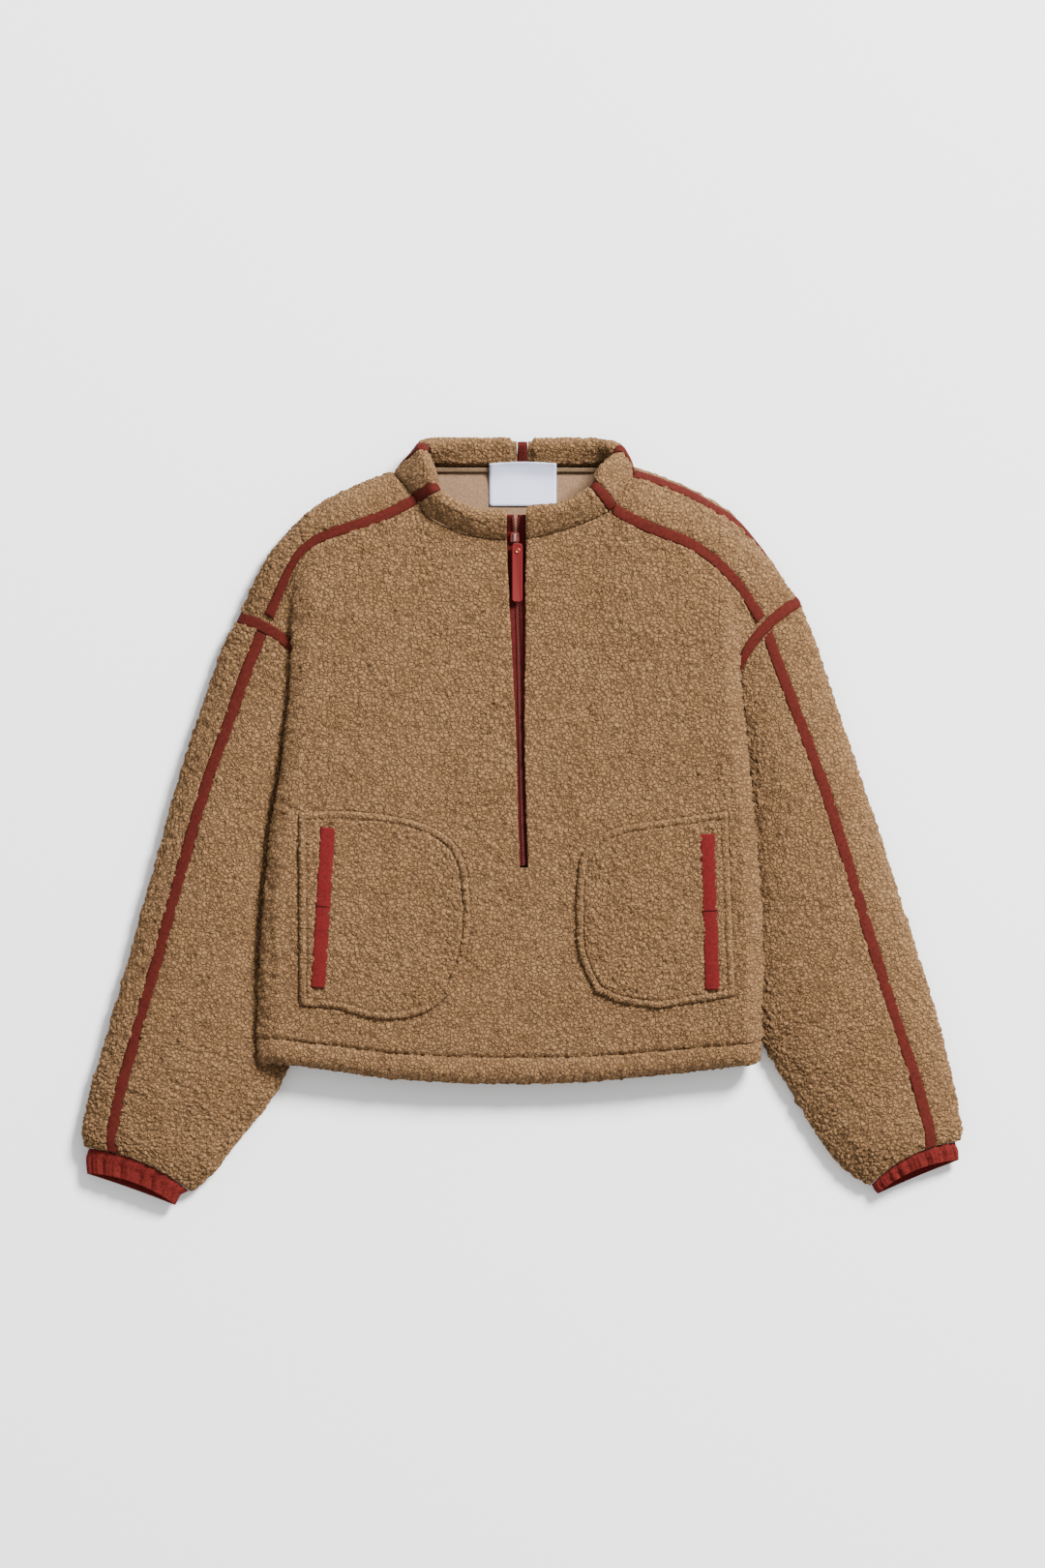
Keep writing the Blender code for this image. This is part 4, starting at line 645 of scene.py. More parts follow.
# The same beside the armhole. Columns: place round the armhole, then x, y and z of the crest, the fold,
# the ledge and the foot; the row ends on the armhole seam.
ARM_SIDE = {
    "left": [
        (0.96, -207, 118, 43.5, -221, 118, 36, -212, 118, 29, -198, 118, 20),
        (0.82, -206, 140, 44, -220, 139, 37, -213, 137, 31, -203, 132, 26),
        (0.66, -204.5, 166, 44, -218.5, 164, 38, -214, 160, 32.5, -208, 153, 29.5),
        (0.52, -203, 196, 43.5, -217, 193, 37, -218.5, 185, 31.5, -219.5, 176, 29.5),
        (0.40, -201, 231, 42, -214, 223, 36.5, -220, 210, 32, -228, 194, 30),
    ],
    "right": [
        (0.96, 193, 112, 43.5, 206.5, 112, 36, 200, 111, 29, 194.5, 109, 20),
        (0.82, 191.5, 130, 44, 204.5, 129, 37, 200, 126, 31, 197, 121, 25),
        (0.66, 190.5, 152, 44, 203, 150, 37.5, 202.5, 146, 32.5, 202, 142, 29),
        (0.52, 189.5, 178, 43.5, 201.5, 176, 37, 205, 172, 32, 209, 167, 30.5),
        (0.43, 188.5, 208, 42, 200, 203, 36.5, 207, 195, 32.5, 215, 186, 30.5),
    ],
}
CENTRE_HEIGHT = [33, 35, 36, 37, 38, 39]      # front's height on its middle line, hem to collar
HEM = [(-238, -229), (-195, -234), (-127, -244), (-60, -248), (0, -248.5), (60, -247), (140, -239),
       (209, -231)]                           # front's lower edge: x, y
HEM_GROOVE = 24.0                             # stitching above the edge
BODY_SWELL = 1.3                              # how much more the body's cloth swells than a sleeve's
SLIT_FOOT = -44.0                             # lower end of the zip opening, y
# Collar seam on the front, from the zip to the shoulder strip: x, y.
NECK = {
    "left": [(-16, 268), (-44, 270.5), (-70, 278.5), (-91, 290), (-101, 307)],
    "right": [(2.5, 268.5), (31, 275), (54, 282.5), (72, 290), (85, 297)],
}
ZIP_TOP = 291.0          # upper end of the zip tapes, y
ZIP_STATIONS = [(291, -7.5, 8.5), (262, -7, 8), (220, -6.6, 6.8), (150, -4.5, 5.4), (90, -3.4, 4.0),
                (0, -1.2, 4.0), (-44, 0.3, 4.0)]   # y, x of the zip's middle, half width of the opening
FLAP_LINES = np.array([0, 0.25, 0.5, 0.75, 1.0])
NECK_SHARE, SLIT_SHARE = 0.30, 0.47          # where the neck and the slit start across the front's top
SIDE_ROWS = len(SIDE["left"])
LAST_ROW = SIDE_ROWS + len(ARM_SIDE["left"])
SLIT_ROW = 5                                 # the row of the side table at the slit's foot


# Pocket patch: corner and edge points of the D, x and y, from its upper outer corner round by the middle.
POCKET = {
    "left": [(-214, 8), (-162, 9), (-112, 2), (-80, -10), (-62, -27), (-54, -48), (-51, -89), (-56, -130),
             (-72, -166), (-97, -183), (-137, -188), (-178, -178), (-213, -175)],
    "right": [(194, 9), (150, 3), (100, -4), (73, -14), (56, -32), (51, -60), (51, -111), (56, -136),
              (69, -162), (92, -172), (126, -177), (157, -173), (201, -166)],
}


def side_lines(side):
    """Six lines of points up the side of the front: on its top, crest, fold, ledge, foot and seam."""
    low, high = np.array(SIDE[side], float), np.array(ARM_SIDE[side], float)
    fold = FOLD_START[side]
    ends, _ = shoulder_points(side, fold + (1 - fold) * FLAP_LINES, 0.0)
    seam, _ = sleeve_points(side, np.zeros(len(high)), high[:, 0])
    lines = []
    for k in range(5):
        y = low[:, 0]
        if k < 4:
            below = np.stack([low[:, 1 + 2 * k], y, low[:, 2 + 2 * k]], axis=-1)
            beside = high[:, 1 + 3 * k:4 + 3 * k]
        else:
            below = np.stack([low[:, 9], y, np.zeros(len(low))], axis=-1)
            beside = seam
        lines.append(np.concatenate([below, beside, ends[k][None]]))
    toward = 1.0 if side == "left" else -1.0
    lines.insert(0, lines[0] + [12.0 * toward, 0, 0])
    return np.stack(lines)

SIDE_LINES = {side: side_lines(side) for side in SIDES}


def centre_line():
    """Middle of the front from hem to collar, a point for each row."""
    y = (SIDE_LINES["left"][1][:, 1] + SIDE_LINES["right"][1][:, 1]) / 2
    y[0], y[1], y[2], y[3] = -248.5, y[1] - 17, y[2] - 9, y[3] - 4
    y[SLIT_ROW], y[-1] = SLIT_FOOT, 268.3
    z = along(np.array(CENTRE_HEIGHT, float)[:, None], np.linspace(0, 1, len(y)))[:, 0]
    return y, z


CENTRE_Y, CENTRE_Z = centre_line()


def slit_edges(v):
    """Left and right edge of the zip opening at the rows v, carried on down to the hem."""
    line = along(np.stack([CENTRE_Y, CENTRE_Z], axis=-1), v / LAST_ROW)
    zip_rows = np.array(ZIP_STATIONS, float)[::-1]
    middle = np.interp(line[..., 0], zip_rows[:, 0], zip_rows[:, 1])
    half = np.interp(line[..., 0], zip_rows[:, 0], zip_rows[:, 2])
    left = np.stack([middle - half, line[..., 0], line[..., 1]], axis=-1)
    right = np.stack([middle + half, line[..., 0], line[..., 1]], axis=-1)
    return left, right


def neck_height(side, t):
    """Height of the collar seam on the front: from the zip, t = 0, to the shoulder strip."""
    corner, _ = shoulder_points(side, 0.0, 0.0)
    return CENTRE_Z[-1] + (corner[2] - CENTRE_Z[-1]) * ease(t, 0, 1)


def front_top(w):
    """Upper edge of the front from the left fold, w = 0, to the right fold, w = 1: on each side the shoulder
    seam, and then the collar seam to the slit."""
    w = np.asarray(w, float)
    out = np.zeros(w.shape + (3,))
    for side, place in (("left", w), ("right", 1 - w)):
        t = FOLD_START[side] * (1 - np.clip(place / NECK_SHARE, 0, 1))
        yoke, _ = shoulder_points(side, t, 0.0)
        n = 1 - np.clip((place - NECK_SHARE) / (SLIT_SHARE - NECK_SHARE), 0, 1)
        neck = xyz(along(NECK[side], n), neck_height(side, n))
        neck = np.where((n >= 1)[..., None], yoke, neck)
        mine = place <= 0.5
        out[mine] = np.where((place <= NECK_SHARE)[..., None], yoke, neck)[mine]
    return out


def front_dome(w, v):
    """Front between its two folds: w across it, v the row from the hem at 0 to the collar at LAST_ROW.

    It runs straight in plan from each crest to the slit's edge. Its height goes from the crest's to the
    middle's as what is left of the way to the power 2.2."""
    w, v = np.broadcast_arrays(np.asarray(w, float), np.asarray(v, float))
    crest = {side: along(SIDE_LINES[side][1], v / LAST_ROW) for side in SIDES}
    left, right = slit_edges(v)
    share = np.clip(w / SLIT_SHARE, 0, 1)[..., None]
    share_right = np.clip((1 - w) / SLIT_SHARE, 0, 1)[..., None]
    between = np.clip((w - SLIT_SHARE) / (1 - 2 * SLIT_SHARE), 0, 1)[..., None]
    from_right = crest["right"] + (right - crest["right"]) * share_right
    inside = np.where(share_right < 1, from_right, left + (right - left) * between)
    base = np.where(share < 1, crest["left"] + (left - crest["left"]) * share, inside)
    puff = np.where(share < 1, 1 - share, 1 - share_right)[..., 0] ** 2.2
    edge = np.where(w < 0.5, crest["left"][..., 2], crest["right"][..., 2])
    base[..., 2] = left[..., 2] + (edge - left[..., 2]) * puff
    return base


def front_points(w, v):
    """The same with the hem's and the upper edge's own lines blended in by smooth steps, and the hem's
    relief."""
    w, v = np.broadcast_arrays(np.asarray(w, float), np.asarray(v, float))
    base = front_dome(w, v)
    top = front_top(w) - front_dome(w, np.full_like(w, LAST_ROW))
    hem_base = front_dome(w, np.zeros_like(w))
    hem = np.array(HEM, float)
    drop = np.interp(hem_base[..., 0], hem[:, 0], hem[:, 1]) - hem_base[..., 1]
    points = base + top * (ease(v, 6.0, LAST_ROW) ** 1.3)[..., None]
    points[..., 1] += drop * (1 - ease(v, 0.0, 4.0))
    points[..., 2] += hem_relief(above_hem(v))
    return points


def above_hem(v):
    """Distance of the row v from the hem, along the middle of the front."""
    return along(np.stack([CENTRE_Y, CENTRE_Z], axis=-1), v / LAST_ROW)[..., 0] - CENTRE_Y[0]


def hem_relief(distance):
    """Height added near the front's hem: a rounded edge, a full roll and the groove of its stitching."""
    return (-6.0 * np.exp(-(distance / 3.5) ** 2) + 1.6 * np.exp(-((distance - 12) / 6.0) ** 2)
            - 2.0 * np.exp(-((distance - HEM_GROOVE) / 2.2) ** 2))


def flap_points(side, p, v):
    """Side of the front beyond the crest: p = 0 on the crest, 1 on the side seam or armhole, a smooth curve
    through its five lines."""
    p, v = np.broadcast_arrays(np.asarray(p, float), np.asarray(v, float))
    lines = np.stack([along(line, v / LAST_ROW) for line in SIDE_LINES[side]])
    last = len(lines) - 2
    place = p * last
    i = np.minimum(place.astype(int), last - 1)
    f = (place - i)[..., None]

    def line_at(k):
        """The points of line number k, one for each place."""
        return np.take_along_axis(lines, np.clip(k, 0, last + 1)[None, ..., None], axis=0)[0]

    a, b = line_at(i + 1), line_at(i + 2)
    after = np.where((i + 3 <= last + 1)[..., None], line_at(i + 3), 2 * b - a)
    sa, sb = (b - line_at(i)) / 2, (after - a) / 2
    points = (a * (1 + 2 * f) * (1 - f) ** 2 + sa * f * (1 - f) ** 2
              + b * f * f * (3 - 2 * f) - sb * f * f * (1 - f))
    points[..., 2] += hem_relief(above_hem(v)) * (1 - p) ** 4
    return points


def outline_distance(points, outline):
    """Plan distance to a closed outline, negative inside it."""
    a, b = outline, np.roll(outline, -1, axis=0)
    p = points[..., None, :2]
    run = b - a
    along_edge = np.clip(((p - a) * run).sum(-1) / (run * run).sum(-1), 0, 1)
    gap = np.linalg.norm(p - a - along_edge[..., None] * run, axis=-1).min(axis=-1)
    crossed = ((a[:, 1] > p[..., 1]) != (b[:, 1] > p[..., 1])) & (
        p[..., 0] < (b[:, 0] - a[:, 0]) * (p[..., 1] - a[:, 1]) / (b[:, 1] - a[:, 1] + 1e-9) + a[:, 0])
    return np.where(crossed.sum(axis=-1) % 2 == 1, -gap, gap)


def pocket_outline(side):
    """The D of a pocket as a closed line of points."""
    table, u = np.array(POCKET[side], float), np.linspace(0, 1, 24)
    return np.concatenate([along(table[0:6], u), along(table[5:9], u)[1:], along(table[8:13], u)[1:]])


GRID = 1.8               # spacing of its points
PILE_IN_HEM = 0.25       # pile left in the hem's stitched groove
PILE_UNDER_POCKET = 0.12


def front_grid():
    """Rows and columns of the front: v up it, w across its dome, p over each turned side, and the row and
    column of cells where the slit starts."""
    count, half, band = counts(516, GRID), counts(238, GRID), COARSE
    foot = (CENTRE_Y[SLIT_ROW] - CENTRE_Y[0]) / (CENTRE_Y[-1] - CENTRE_Y[0])
    blocks = COARSE * int(round(foot * (count - 1) / COARSE))
    rows = np.interp(np.linspace(CENTRE_Y[0], CENTRE_Y[-1], count), CENTRE_Y, np.arange(LAST_ROW + 1))
    rows += (SLIT_ROW - rows[blocks]) * np.interp(np.arange(count), [0, blocks, count - 1], [0, 1, 0])
    w = np.concatenate([np.linspace(0, SLIT_SHARE, half),
                        np.linspace(SLIT_SHARE, 1 - SLIT_SHARE, band + 1)[1:],
                        np.linspace(1 - SLIT_SHARE, 1, half)[1:]])
    p = np.concatenate([np.linspace(0, 0.42, counts(22, GRID)), np.linspace(0.42, 1, counts(60, 4.0))[1:]])
    return rows, w, p, blocks // COARSE, (len(p) - 1 + half - 1) // COARSE


def front_piece():
    """The front: its left side, its two halves with the slit between them, and its right side."""
    rows, w, shares, slit_row, slit_column = front_grid()
    dome = front_points(w[None, :], rows[:, None])
    flaps = {side: flap_points(side, shares[None, :], rows[:, None]) for side in SIDES}
    for side, meets in (("left", dome[:, :1]), ("right", dome[:, -1:])):
        fold = FOLD_START[side]
        end, _ = shoulder_points(side, fold + (1 - fold) * shares, 0.0)
        flaps[side] += (end - flaps[side][-1])[None] * (ease(rows, LAST_ROW - 1, LAST_ROW))[:, None, None]
        flaps[side] += (meets - flaps[side][:, :1]) * (1 - ease(shares, 0.0, 0.45))[None, :, None]
    base = np.concatenate([flaps["left"][:, :0:-1], dome, flaps["right"][:, 1:]], axis=1)
    flat = np.abs(base[..., 0]) < 236
    base[..., 2] += np.where(flat, cloth_swell(base) * BODY_SWELL, 0) * ease(base[..., 2], 18, 30)
    share = np.concatenate([shares[:0:-1], 0 * w, shares[1:]])
    hold = np.ones(base.shape[:2]) * (1 - 0.85 * ease(share, 0.5, 0.72))[None, :]
    hold *= (1 - (1 - PILE_IN_HEM) * np.exp(-((above_hem(rows) - HEM_GROOVE) / 1.7) ** 2))[:, None]
    for side in SIDES:
        edge = outline_distance(base, pocket_outline(side))
        hold *= PILE_UNDER_POCKET + (1 - PILE_UNDER_POCKET) * ease(edge, -1.0, 1.6)
    t = np.linspace(0, 1, 50)
    neck = [xyz(along(NECK[side], t), neck_height(side, t)) for side in SIDES]
    hold *= 0.6 + 0.4 * ease(line_distance(base, neck, 6.0), 0.0, 2.5)
    keep = np.ones(((len(rows) - 1) // COARSE, (base.shape[1] - 1) // COARSE), bool)
    keep[slit_row:, slit_column] = False
    item = pile_piece("fleece_front", base, -normals_of(base, UP), UP,
                      SEAM_LINES["left"][2:4] + SEAM_LINES["right"][2:4], hold, keep)
    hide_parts("front_panel")


front_piece()

# ---- back -------------------------------------------------------------------------------------------
# The back is cut in one piece. It lies flat on its pile, its knitted inner face shows through the neck,
# and its upper edge turns up to the taped seam along each shoulder.

BACK_CUT = (560, 560)
BACK_GRID = 4.2          # spacing of its points
BACK_ARM = [-0.92, -0.75, -0.60, -0.42, -0.25]      # places round the armhole, from the underarm up
NECK_BACK_Y = 335.0      # collar seam of the back, y


def back_edge(side, v):
    """Side of the back on the floor: the side seam, then the armhole seam's path in plan."""
    low = SIDE_LINES[side][5][:SIDE_ROWS].copy()
    arm, _ = sleeve_points(side, np.zeros(len(BACK_ARM)), np.array(BACK_ARM))
    arm[:, 2] = 0.0
    toward = 1.2 if side == "left" else -1.2
    low[-1, 0] += toward
    arm[0, 0] += toward
    return along(np.concatenate([low, arm]), np.asarray(v, float) / (SIDE_ROWS + len(BACK_ARM) - 1))


def back_neck(w):
    """Collar seam of the back between its two corners, in plan: w from 0 to 1, left to right. Smooth steps
    at both ends take the line between the corners to the height of NECK_BACK_Y."""
    left, _ = shoulder_points("left", 0.0, 1.0)
    right, _ = shoulder_points("right", 0.0, 1.0)
    x = left[0] + (right[0] - left[0]) * w
    dip = np.minimum(ease(w, 0, 0.16), ease(1 - w, 0, 0.16))
    corner = left[1] + (right[1] - left[1]) * w
    return np.stack([x, corner + (NECK_BACK_Y - corner) * dip, 0 * w], axis=-1)


def back_piece():
    """The back: a patch between its hem, its two sides and its top, and a strip turned up to the shoulder.

    The patch is edges + spans - corners: what its two sides give, what its hem and top give, less what its
    four corners give to both."""
    rows = np.linspace(0, 1, counts(BACK_CUT[1], BACK_GRID))
    span = SIDE_ROWS + len(BACK_ARM) - 1
    low = {side: back_edge(side, rows * span) for side in SIDES}
    yoke = np.linspace(0, 1, counts(YOKE[1], BACK_GRID))
    neck_count = counts(230, BACK_GRID) - 2
    neck_count -= (2 * len(yoke) + neck_count - 1) % COARSE
    neck_w = np.linspace(0, 1, neck_count + 2)[1:-1]
    rings = []
    for q in np.linspace(2.0, 1.0, counts(20, 2.0)):
        left, _ = shoulder_points("left", yoke[::-1], q)
        right, _ = shoulder_points("right", yoke, q)
        neck = back_neck(neck_w)
        neck[:, 1] -= (q - 1.0) * CORNER
        neck[:, 2] = left[-1, 2] * (1 - ease(neck_w, 0, 0.12)) + right[0, 2] * (1 - ease(1 - neck_w, 0, 0.12))
        rings.append(np.concatenate([left, neck, right]))
    w = np.linspace(0, 1, rings[0].shape[0])
    ends = low["left"][0], low["right"][0]
    x = ends[0][0] + (ends[1][0] - ends[0][0]) * w
    hem = np.array(HEM, float)
    y = ends[0][1] + (ends[1][1] - ends[0][1]) * w
    sides = np.minimum(ease(w, 0, 0.1), ease(1 - w, 0, 0.1))
    bottom = np.stack([x, y + (np.interp(x, hem[:, 0], hem[:, 1]) + 3.0 - y) * sides, 0 * x], axis=-1)
    v, u = rows[:, None, None], w[None, :, None]
    edges = low["left"][:, None] * (1 - u) + low["right"][:, None] * u
    spans = bottom[None] * (1 - v) + rings[0][None] * v
    corners = ((bottom[0] * (1 - u) + bottom[-1] * u) * (1 - v)
               + (rings[0][0] * (1 - u) + rings[0][-1] * u) * v)
    base = np.concatenate([edges + spans - corners, np.stack(rings[1:])])
    item = pile_piece("fleece_back", base, -normals_of(base, (0, 0, -1)), (0, 0, -1),
                      SEAM_LINES["left"] + SEAM_LINES["right"])
    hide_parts("back_panel")


back_piece()

# ---- collar -----------------------------------------------------------------------------------------
# The stand collar is fleece folded over, pile outside and inside: a front, a side and a back piece on each
# half. It stands up round the front of the neck and lies back on the floor behind it.

# Collar, from the zip round to the middle of the back. Columns: crest_x, crest_y, crest_z, inner_x,
# inner_y, inner_z. The outer lower edge follows the seam with the body.
COLLAR = {
    "left": [
        (-16, 286, 47, -16, 279, 33),
        (-42, 289, 48.5, -41, 282, 33),
        (-62, 297, 49.5, -63, 290, 33),
        (-77, 306, 50, -81, 299, 32),
        (-86, 315, 50, -90, 308, 30),
        (-90, 332, 46, -99, 322, 24),
        (-97, 352, 30, -109, 336, 13),
        (-84, 357, 17, -90, 340, 10),
        (-60, 357, 13, -60, 339, 9.5),
        (-33, 357, 12, -33, 339, 9.5),
        (-6.3, 357, 12, -6.3, 339, 9.5),
    ],
    "right": [
        (3, 286, 47, 3, 279, 33),
        (29, 292, 48.5, 29, 285, 33),
        (48, 301, 49.5, 49, 293, 33),
        (61, 308, 50, 64, 301, 32),
        (70, 316, 50, 75, 308, 30),
        (77, 331, 46, 86, 322, 24),
        (92, 349, 31, 92, 335, 28),
        (76, 356, 19, 80, 341, 13),
        (56, 357, 13, 56, 339, 9.5),
        (32, 357, 12, 32, 339, 9.5),
        (4.4, 357, 12, 4.4, 339, 9.5),
    ],
}
COLLAR_SIDE_ROW = 4      # the row of that table at the seam between the front collar and its side
COLLAR_BACK_ROW = 6      # and at the seam between its side and its back
CREST_RADIUS = 5.0
WALL_BULGE = 1.2
BACK_SHARES = np.array([1 / 9, 2 / 9, 1 / 3, 0.5])       # places on the back's collar seam
CREST_ANGLES = np.radians([0, 45, 90, 135, 180])
SEAM_GAP = 0.3


def collar_seam(side, rows):
    """Points of the collar seam at places of the collar's table.

    The seam runs straight between the same points as the edges of the front, the strip and the back."""
    front = np.array(NECK[side], float)
    at_front = xyz(front, neck_height(side, np.linspace(0, 1, len(front))))
    at_side, _ = shoulder_points(side, np.zeros(5), np.linspace(0.2, 1, 5))
    share = BACK_SHARES.copy()
    ends = [shoulder_points(name, 0.0, 1.0)[0][0] for name in SIDES]
    own = ends[0] if side == "left" else ends[1]
    share[-1] = (COLLAR[side][-1][0] - own) / (ends[1] - ends[0]) * (1 if side == "left" else -1)
    at_back = back_neck(share if side == "left" else 1 - share)
    at_back[:, 2] = at_side[-1, 2] * (1 - ease(share, 0, 0.12))
    seam = np.concatenate([at_front, at_side, at_back])
    place = np.concatenate([np.arange(5), 4 + 2 * np.linspace(0.2, 1, 5), np.arange(7, 11)])
    return np.stack([np.interp(rows, place, column) for column in seam.T], axis=-1)


def collar_ring(side, rows, inset=0.0):
    """Sections through the collar at places of its table: seam edge, outside, crest and inside."""
    table = np.array(COLLAR[side], float)
    seam = collar_seam(side, rows)
    last = len(table) - 1
    place = np.asarray(rows, float) / last
    crest, inner = along(table[:, 0:3], place), along(table[:, 3:6], place)
    toward = unit((crest - seam) * [1, 1, 0])
    outer = seam + toward * SEAM_GAP
    along_wall = unit(crest - (outer + inner) / 2)
    square = outer - inner
    square = unit(square - (square * along_wall).sum(-1, keepdims=True) * along_wall)
    sides = [crest + (CREST_RADIUS - inset) * (square * np.cos(f) + along_wall * np.sin(f))
             for f in CREST_ANGLES]
    outer = outer - square * inset
    inner = inner + square * inset
    ring = [outer, (outer + sides[0]) / 2 + square * WALL_BULGE, *sides, (inner + sides[-1]) / 2, inner]
    ring = np.stack(ring, axis=-2)
    ring[..., 2] = np.maximum(ring[..., 2], 0.0)
    return ring


def wrapped(grid):
    """Unit normals of a grid whose columns close on themselves, pointing away from each row's middle."""
    ahead, behind = np.roll(grid, -1, axis=1), np.roll(grid, 1, axis=1)
    n = unit(np.cross(np.gradient(grid, axis=0), ahead - behind))
    away = grid - grid.mean(axis=1, keepdims=True)
    return n * np.sign((n * away).sum(axis=-1).mean())


def closed_roll(name, rings, materials, marks=None, uv=None):
    """A smooth closed mesh through rings of points, each end shut by one face."""
    rows, size = rings.shape[:2]
    index = np.arange(rows * size).reshape(rows, size)
    beside = np.roll(index, -1, axis=1)
    quads = np.stack([index[:-1], beside[:-1], beside[1:], index[1:]], axis=-1).reshape(-1, 4)
    faces = quads.tolist() + [index[0][::-1].tolist(), index[-1].tolist()]
    item = mesh_piece(name, rings.reshape(-1, 3), faces, materials, marks=marks, uv=uv)
    turn_out(item)
    return item


ZIP_END_ROLL = {"left": 2.0, "right": 6.5}      # the crest turns up beside the zip
COLLAR_PILE = 0.75 * PILE
COLLAR_LOFT = 1.9        # how much the folded fleece puffs up under its pile
COLLAR_SINK = 0.8        # how far the cloth is drawn in at its seams


def collar_piece(name, side, start, end, tapes):
    """A piece of the collar: dense sections through it, raised by pile except near its two seams."""
    around = np.linspace(0, 1, int(52 / FINE))
    ends = collar_ring(side, np.array([start, end]))[:, 2]
    length = np.linalg.norm(ends[1] - ends[0])
    rows = np.linspace(start, end, max(12, int(length / (1.4 * FINE))))
    sections = collar_ring(side, rows)
    rings = np.stack([along(section, around) for section in sections])
    foot = rings[:, :1] * 0.5 + rings[:, -1:] * 0.5
    rings = np.concatenate([rings, foot], axis=1)
    roll = np.append(np.sin(np.pi * around) ** 2, 0.0) * np.exp(-(rows[:, None] / 1.1) ** 2)
    rings[..., 1] += ZIP_END_ROLL[side] * roll
    tuft = pile_height(rings)
    skirt = np.append(ease(np.minimum(around, 1 - around), 0.0, 0.03), 0.0)
    rise = (COLLAR_PILE * tuft + COLLAR_LOFT) * skirt[None, :]
    ragged = 1.4 * soft_noise(rings, 3.4, 71)
    rise = rise * ease(line_distance(rings, tapes) + ragged, 4.0, 6.2) - COLLAR_SINK * skirt[None, :]
    rings = rings + wrapped(rings) * rise[..., None]
    rings[..., 2] = np.maximum(rings[..., 2], ON_FLOOR)
    # The pile's height also drives the painted shade and light in the fleece's colour.
    item = closed_roll(f"fleece_collar_{name}_{side}", rings, [FLEECE], {"pile": tuft.ravel()})
    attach(item, BODY)
    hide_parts(f"collar_{name}_{side}")


def collar_lines(side):
    """Lines of the two seams across the collar, and of its end at the middle of the back."""
    rows = np.array([COLLAR_SIDE_ROW, COLLAR_BACK_ROW, len(COLLAR[side]) - 1.0])
    return [dense_line(ring) for ring in collar_ring(side, rows)]


for side in SIDES:
    ends, lines = [0, COLLAR_SIDE_ROW, COLLAR_BACK_ROW, len(COLLAR[side]) - 1], collar_lines(side)
    for name, start, end in zip(("front", "side", "back"), ends, ends[1:]):
        collar_piece(name, side, start, end, lines)

# ---- tapes over the seams ---------------------------------------------------------------------------
# Dark-red woven tape, 11 mm wide, is stitched over every seam along both of its edges. It lies between the
# two banks of pile, which lean over its edges.

TAPE_WIDTH = 11.0
HALF_TAPE = TAPE_WIDTH / 2
TAPE_THICK = 1.2
SLEEVE_TAPE_START = 10.08 / 550     # place along the sleeve where its tapes start, beside the armhole's
ARM_TAPE_END = {"left": 0.53, "right": 0.60}


def step_off(surface, u, v, du, dv, distance):
    """Point of a surface at a distance from (u, v), in the direction (du, dv) of its parameters."""
    here = surface(u, v)
    tiny = surface(u + du * 0.01, v + dv * 0.01)
    rate = np.linalg.norm(tiny - here, axis=-1) / 0.01
    return surface(u + du * distance / rate, v + dv * distance / rate)


def across_seam(surface, u, v, du, dv):
    """Edge, middle and edge of a tape whose middle runs through (u, v): half its width to each side."""
    return np.stack([step_off(surface, u, v, -du, -dv, HALF_TAPE), surface(u, v),
                     step_off(surface, u, v, du, dv, HALF_TAPE)], axis=1)


def beside_shoulder_seam(side, t, distance):
    """Points of the front at a distance from the shoulder seam."""
    fold = FOLD_START[side]
    w = NECK_SHARE * (1 - np.clip(t / fold, 0, 1))
    w = 1 - w if side == "right" else w
    rows = np.full_like(t, LAST_ROW)
    dome = step_off(front_points, w, rows, 0, -1, distance)
    p = np.clip((t - fold) / (1 - fold), 0, 1)
    flap = step_off(lambda a, b: flap_points(side, a, b), p, rows, 0, -1, distance)
    seam, _ = shoulder_points(side, t, 0.0)
    at_row = flap_points(side, p, rows)
    flap = flap + seam - at_row
    return np.where((t <= fold)[..., None], dome, flap)


CM_WAVE = 20 * np.pi     # a full wave in each millimetre of a UV map that is in centimetres


def tape_material(name, dark, light, pitch=0.9):
    """Woven polyester tape, matt: ribs across it, the pitch apart, and yarns 0.6 mm apart along it, drawn
    coarse enough to show. The weave is the product of their two sines, on a UV map in centimetres."""
    made, tree, shader, spot = new_material(name, {"Roughness": 0.82, "Specular IOR Level": 0.06})
    uv = add_node(tree, "ShaderNodeUVMap", uv_map="UVMap").outputs[0]
    place = add_node(tree, "ShaderNodeSeparateXYZ", links={0: uv})
    waves = []
    for axis, spacing in ((1, pitch), (0, 0.6)):
        turn = add_node(tree, "ShaderNodeMath", {1: CM_WAVE / spacing}, {0: place.outputs[axis]},
                        operation="MULTIPLY")
        waves.append(add_node(tree, "ShaderNodeMath", links={0: turn.outputs[0]}, operation="SINE"))
    weave = add_node(tree, "ShaderNodeMath", links={0: waves[0].outputs[0], 1: waves[1].outputs[0]},
                     operation="MULTIPLY")
    wear = add_node(tree, "ShaderNodeTexNoise", {"Scale": 330.0, "Detail": 4.0, "Roughness": 0.7},
                    {"Vector": spot})
    tone = add_node(tree, "ShaderNodeMath", {1: 0.13}, {0: weave.outputs[0], 2: wear.outputs["Fac"]},
                    operation="MULTIPLY_ADD").outputs[0]
    coat(tree, shader, tone, [(0.25, dark), (0.75, light)], tone, 0.8, 0.0004)
    return made


TAPE = tape_material("woven_polyester_tape", "31100C", "4E1A14")


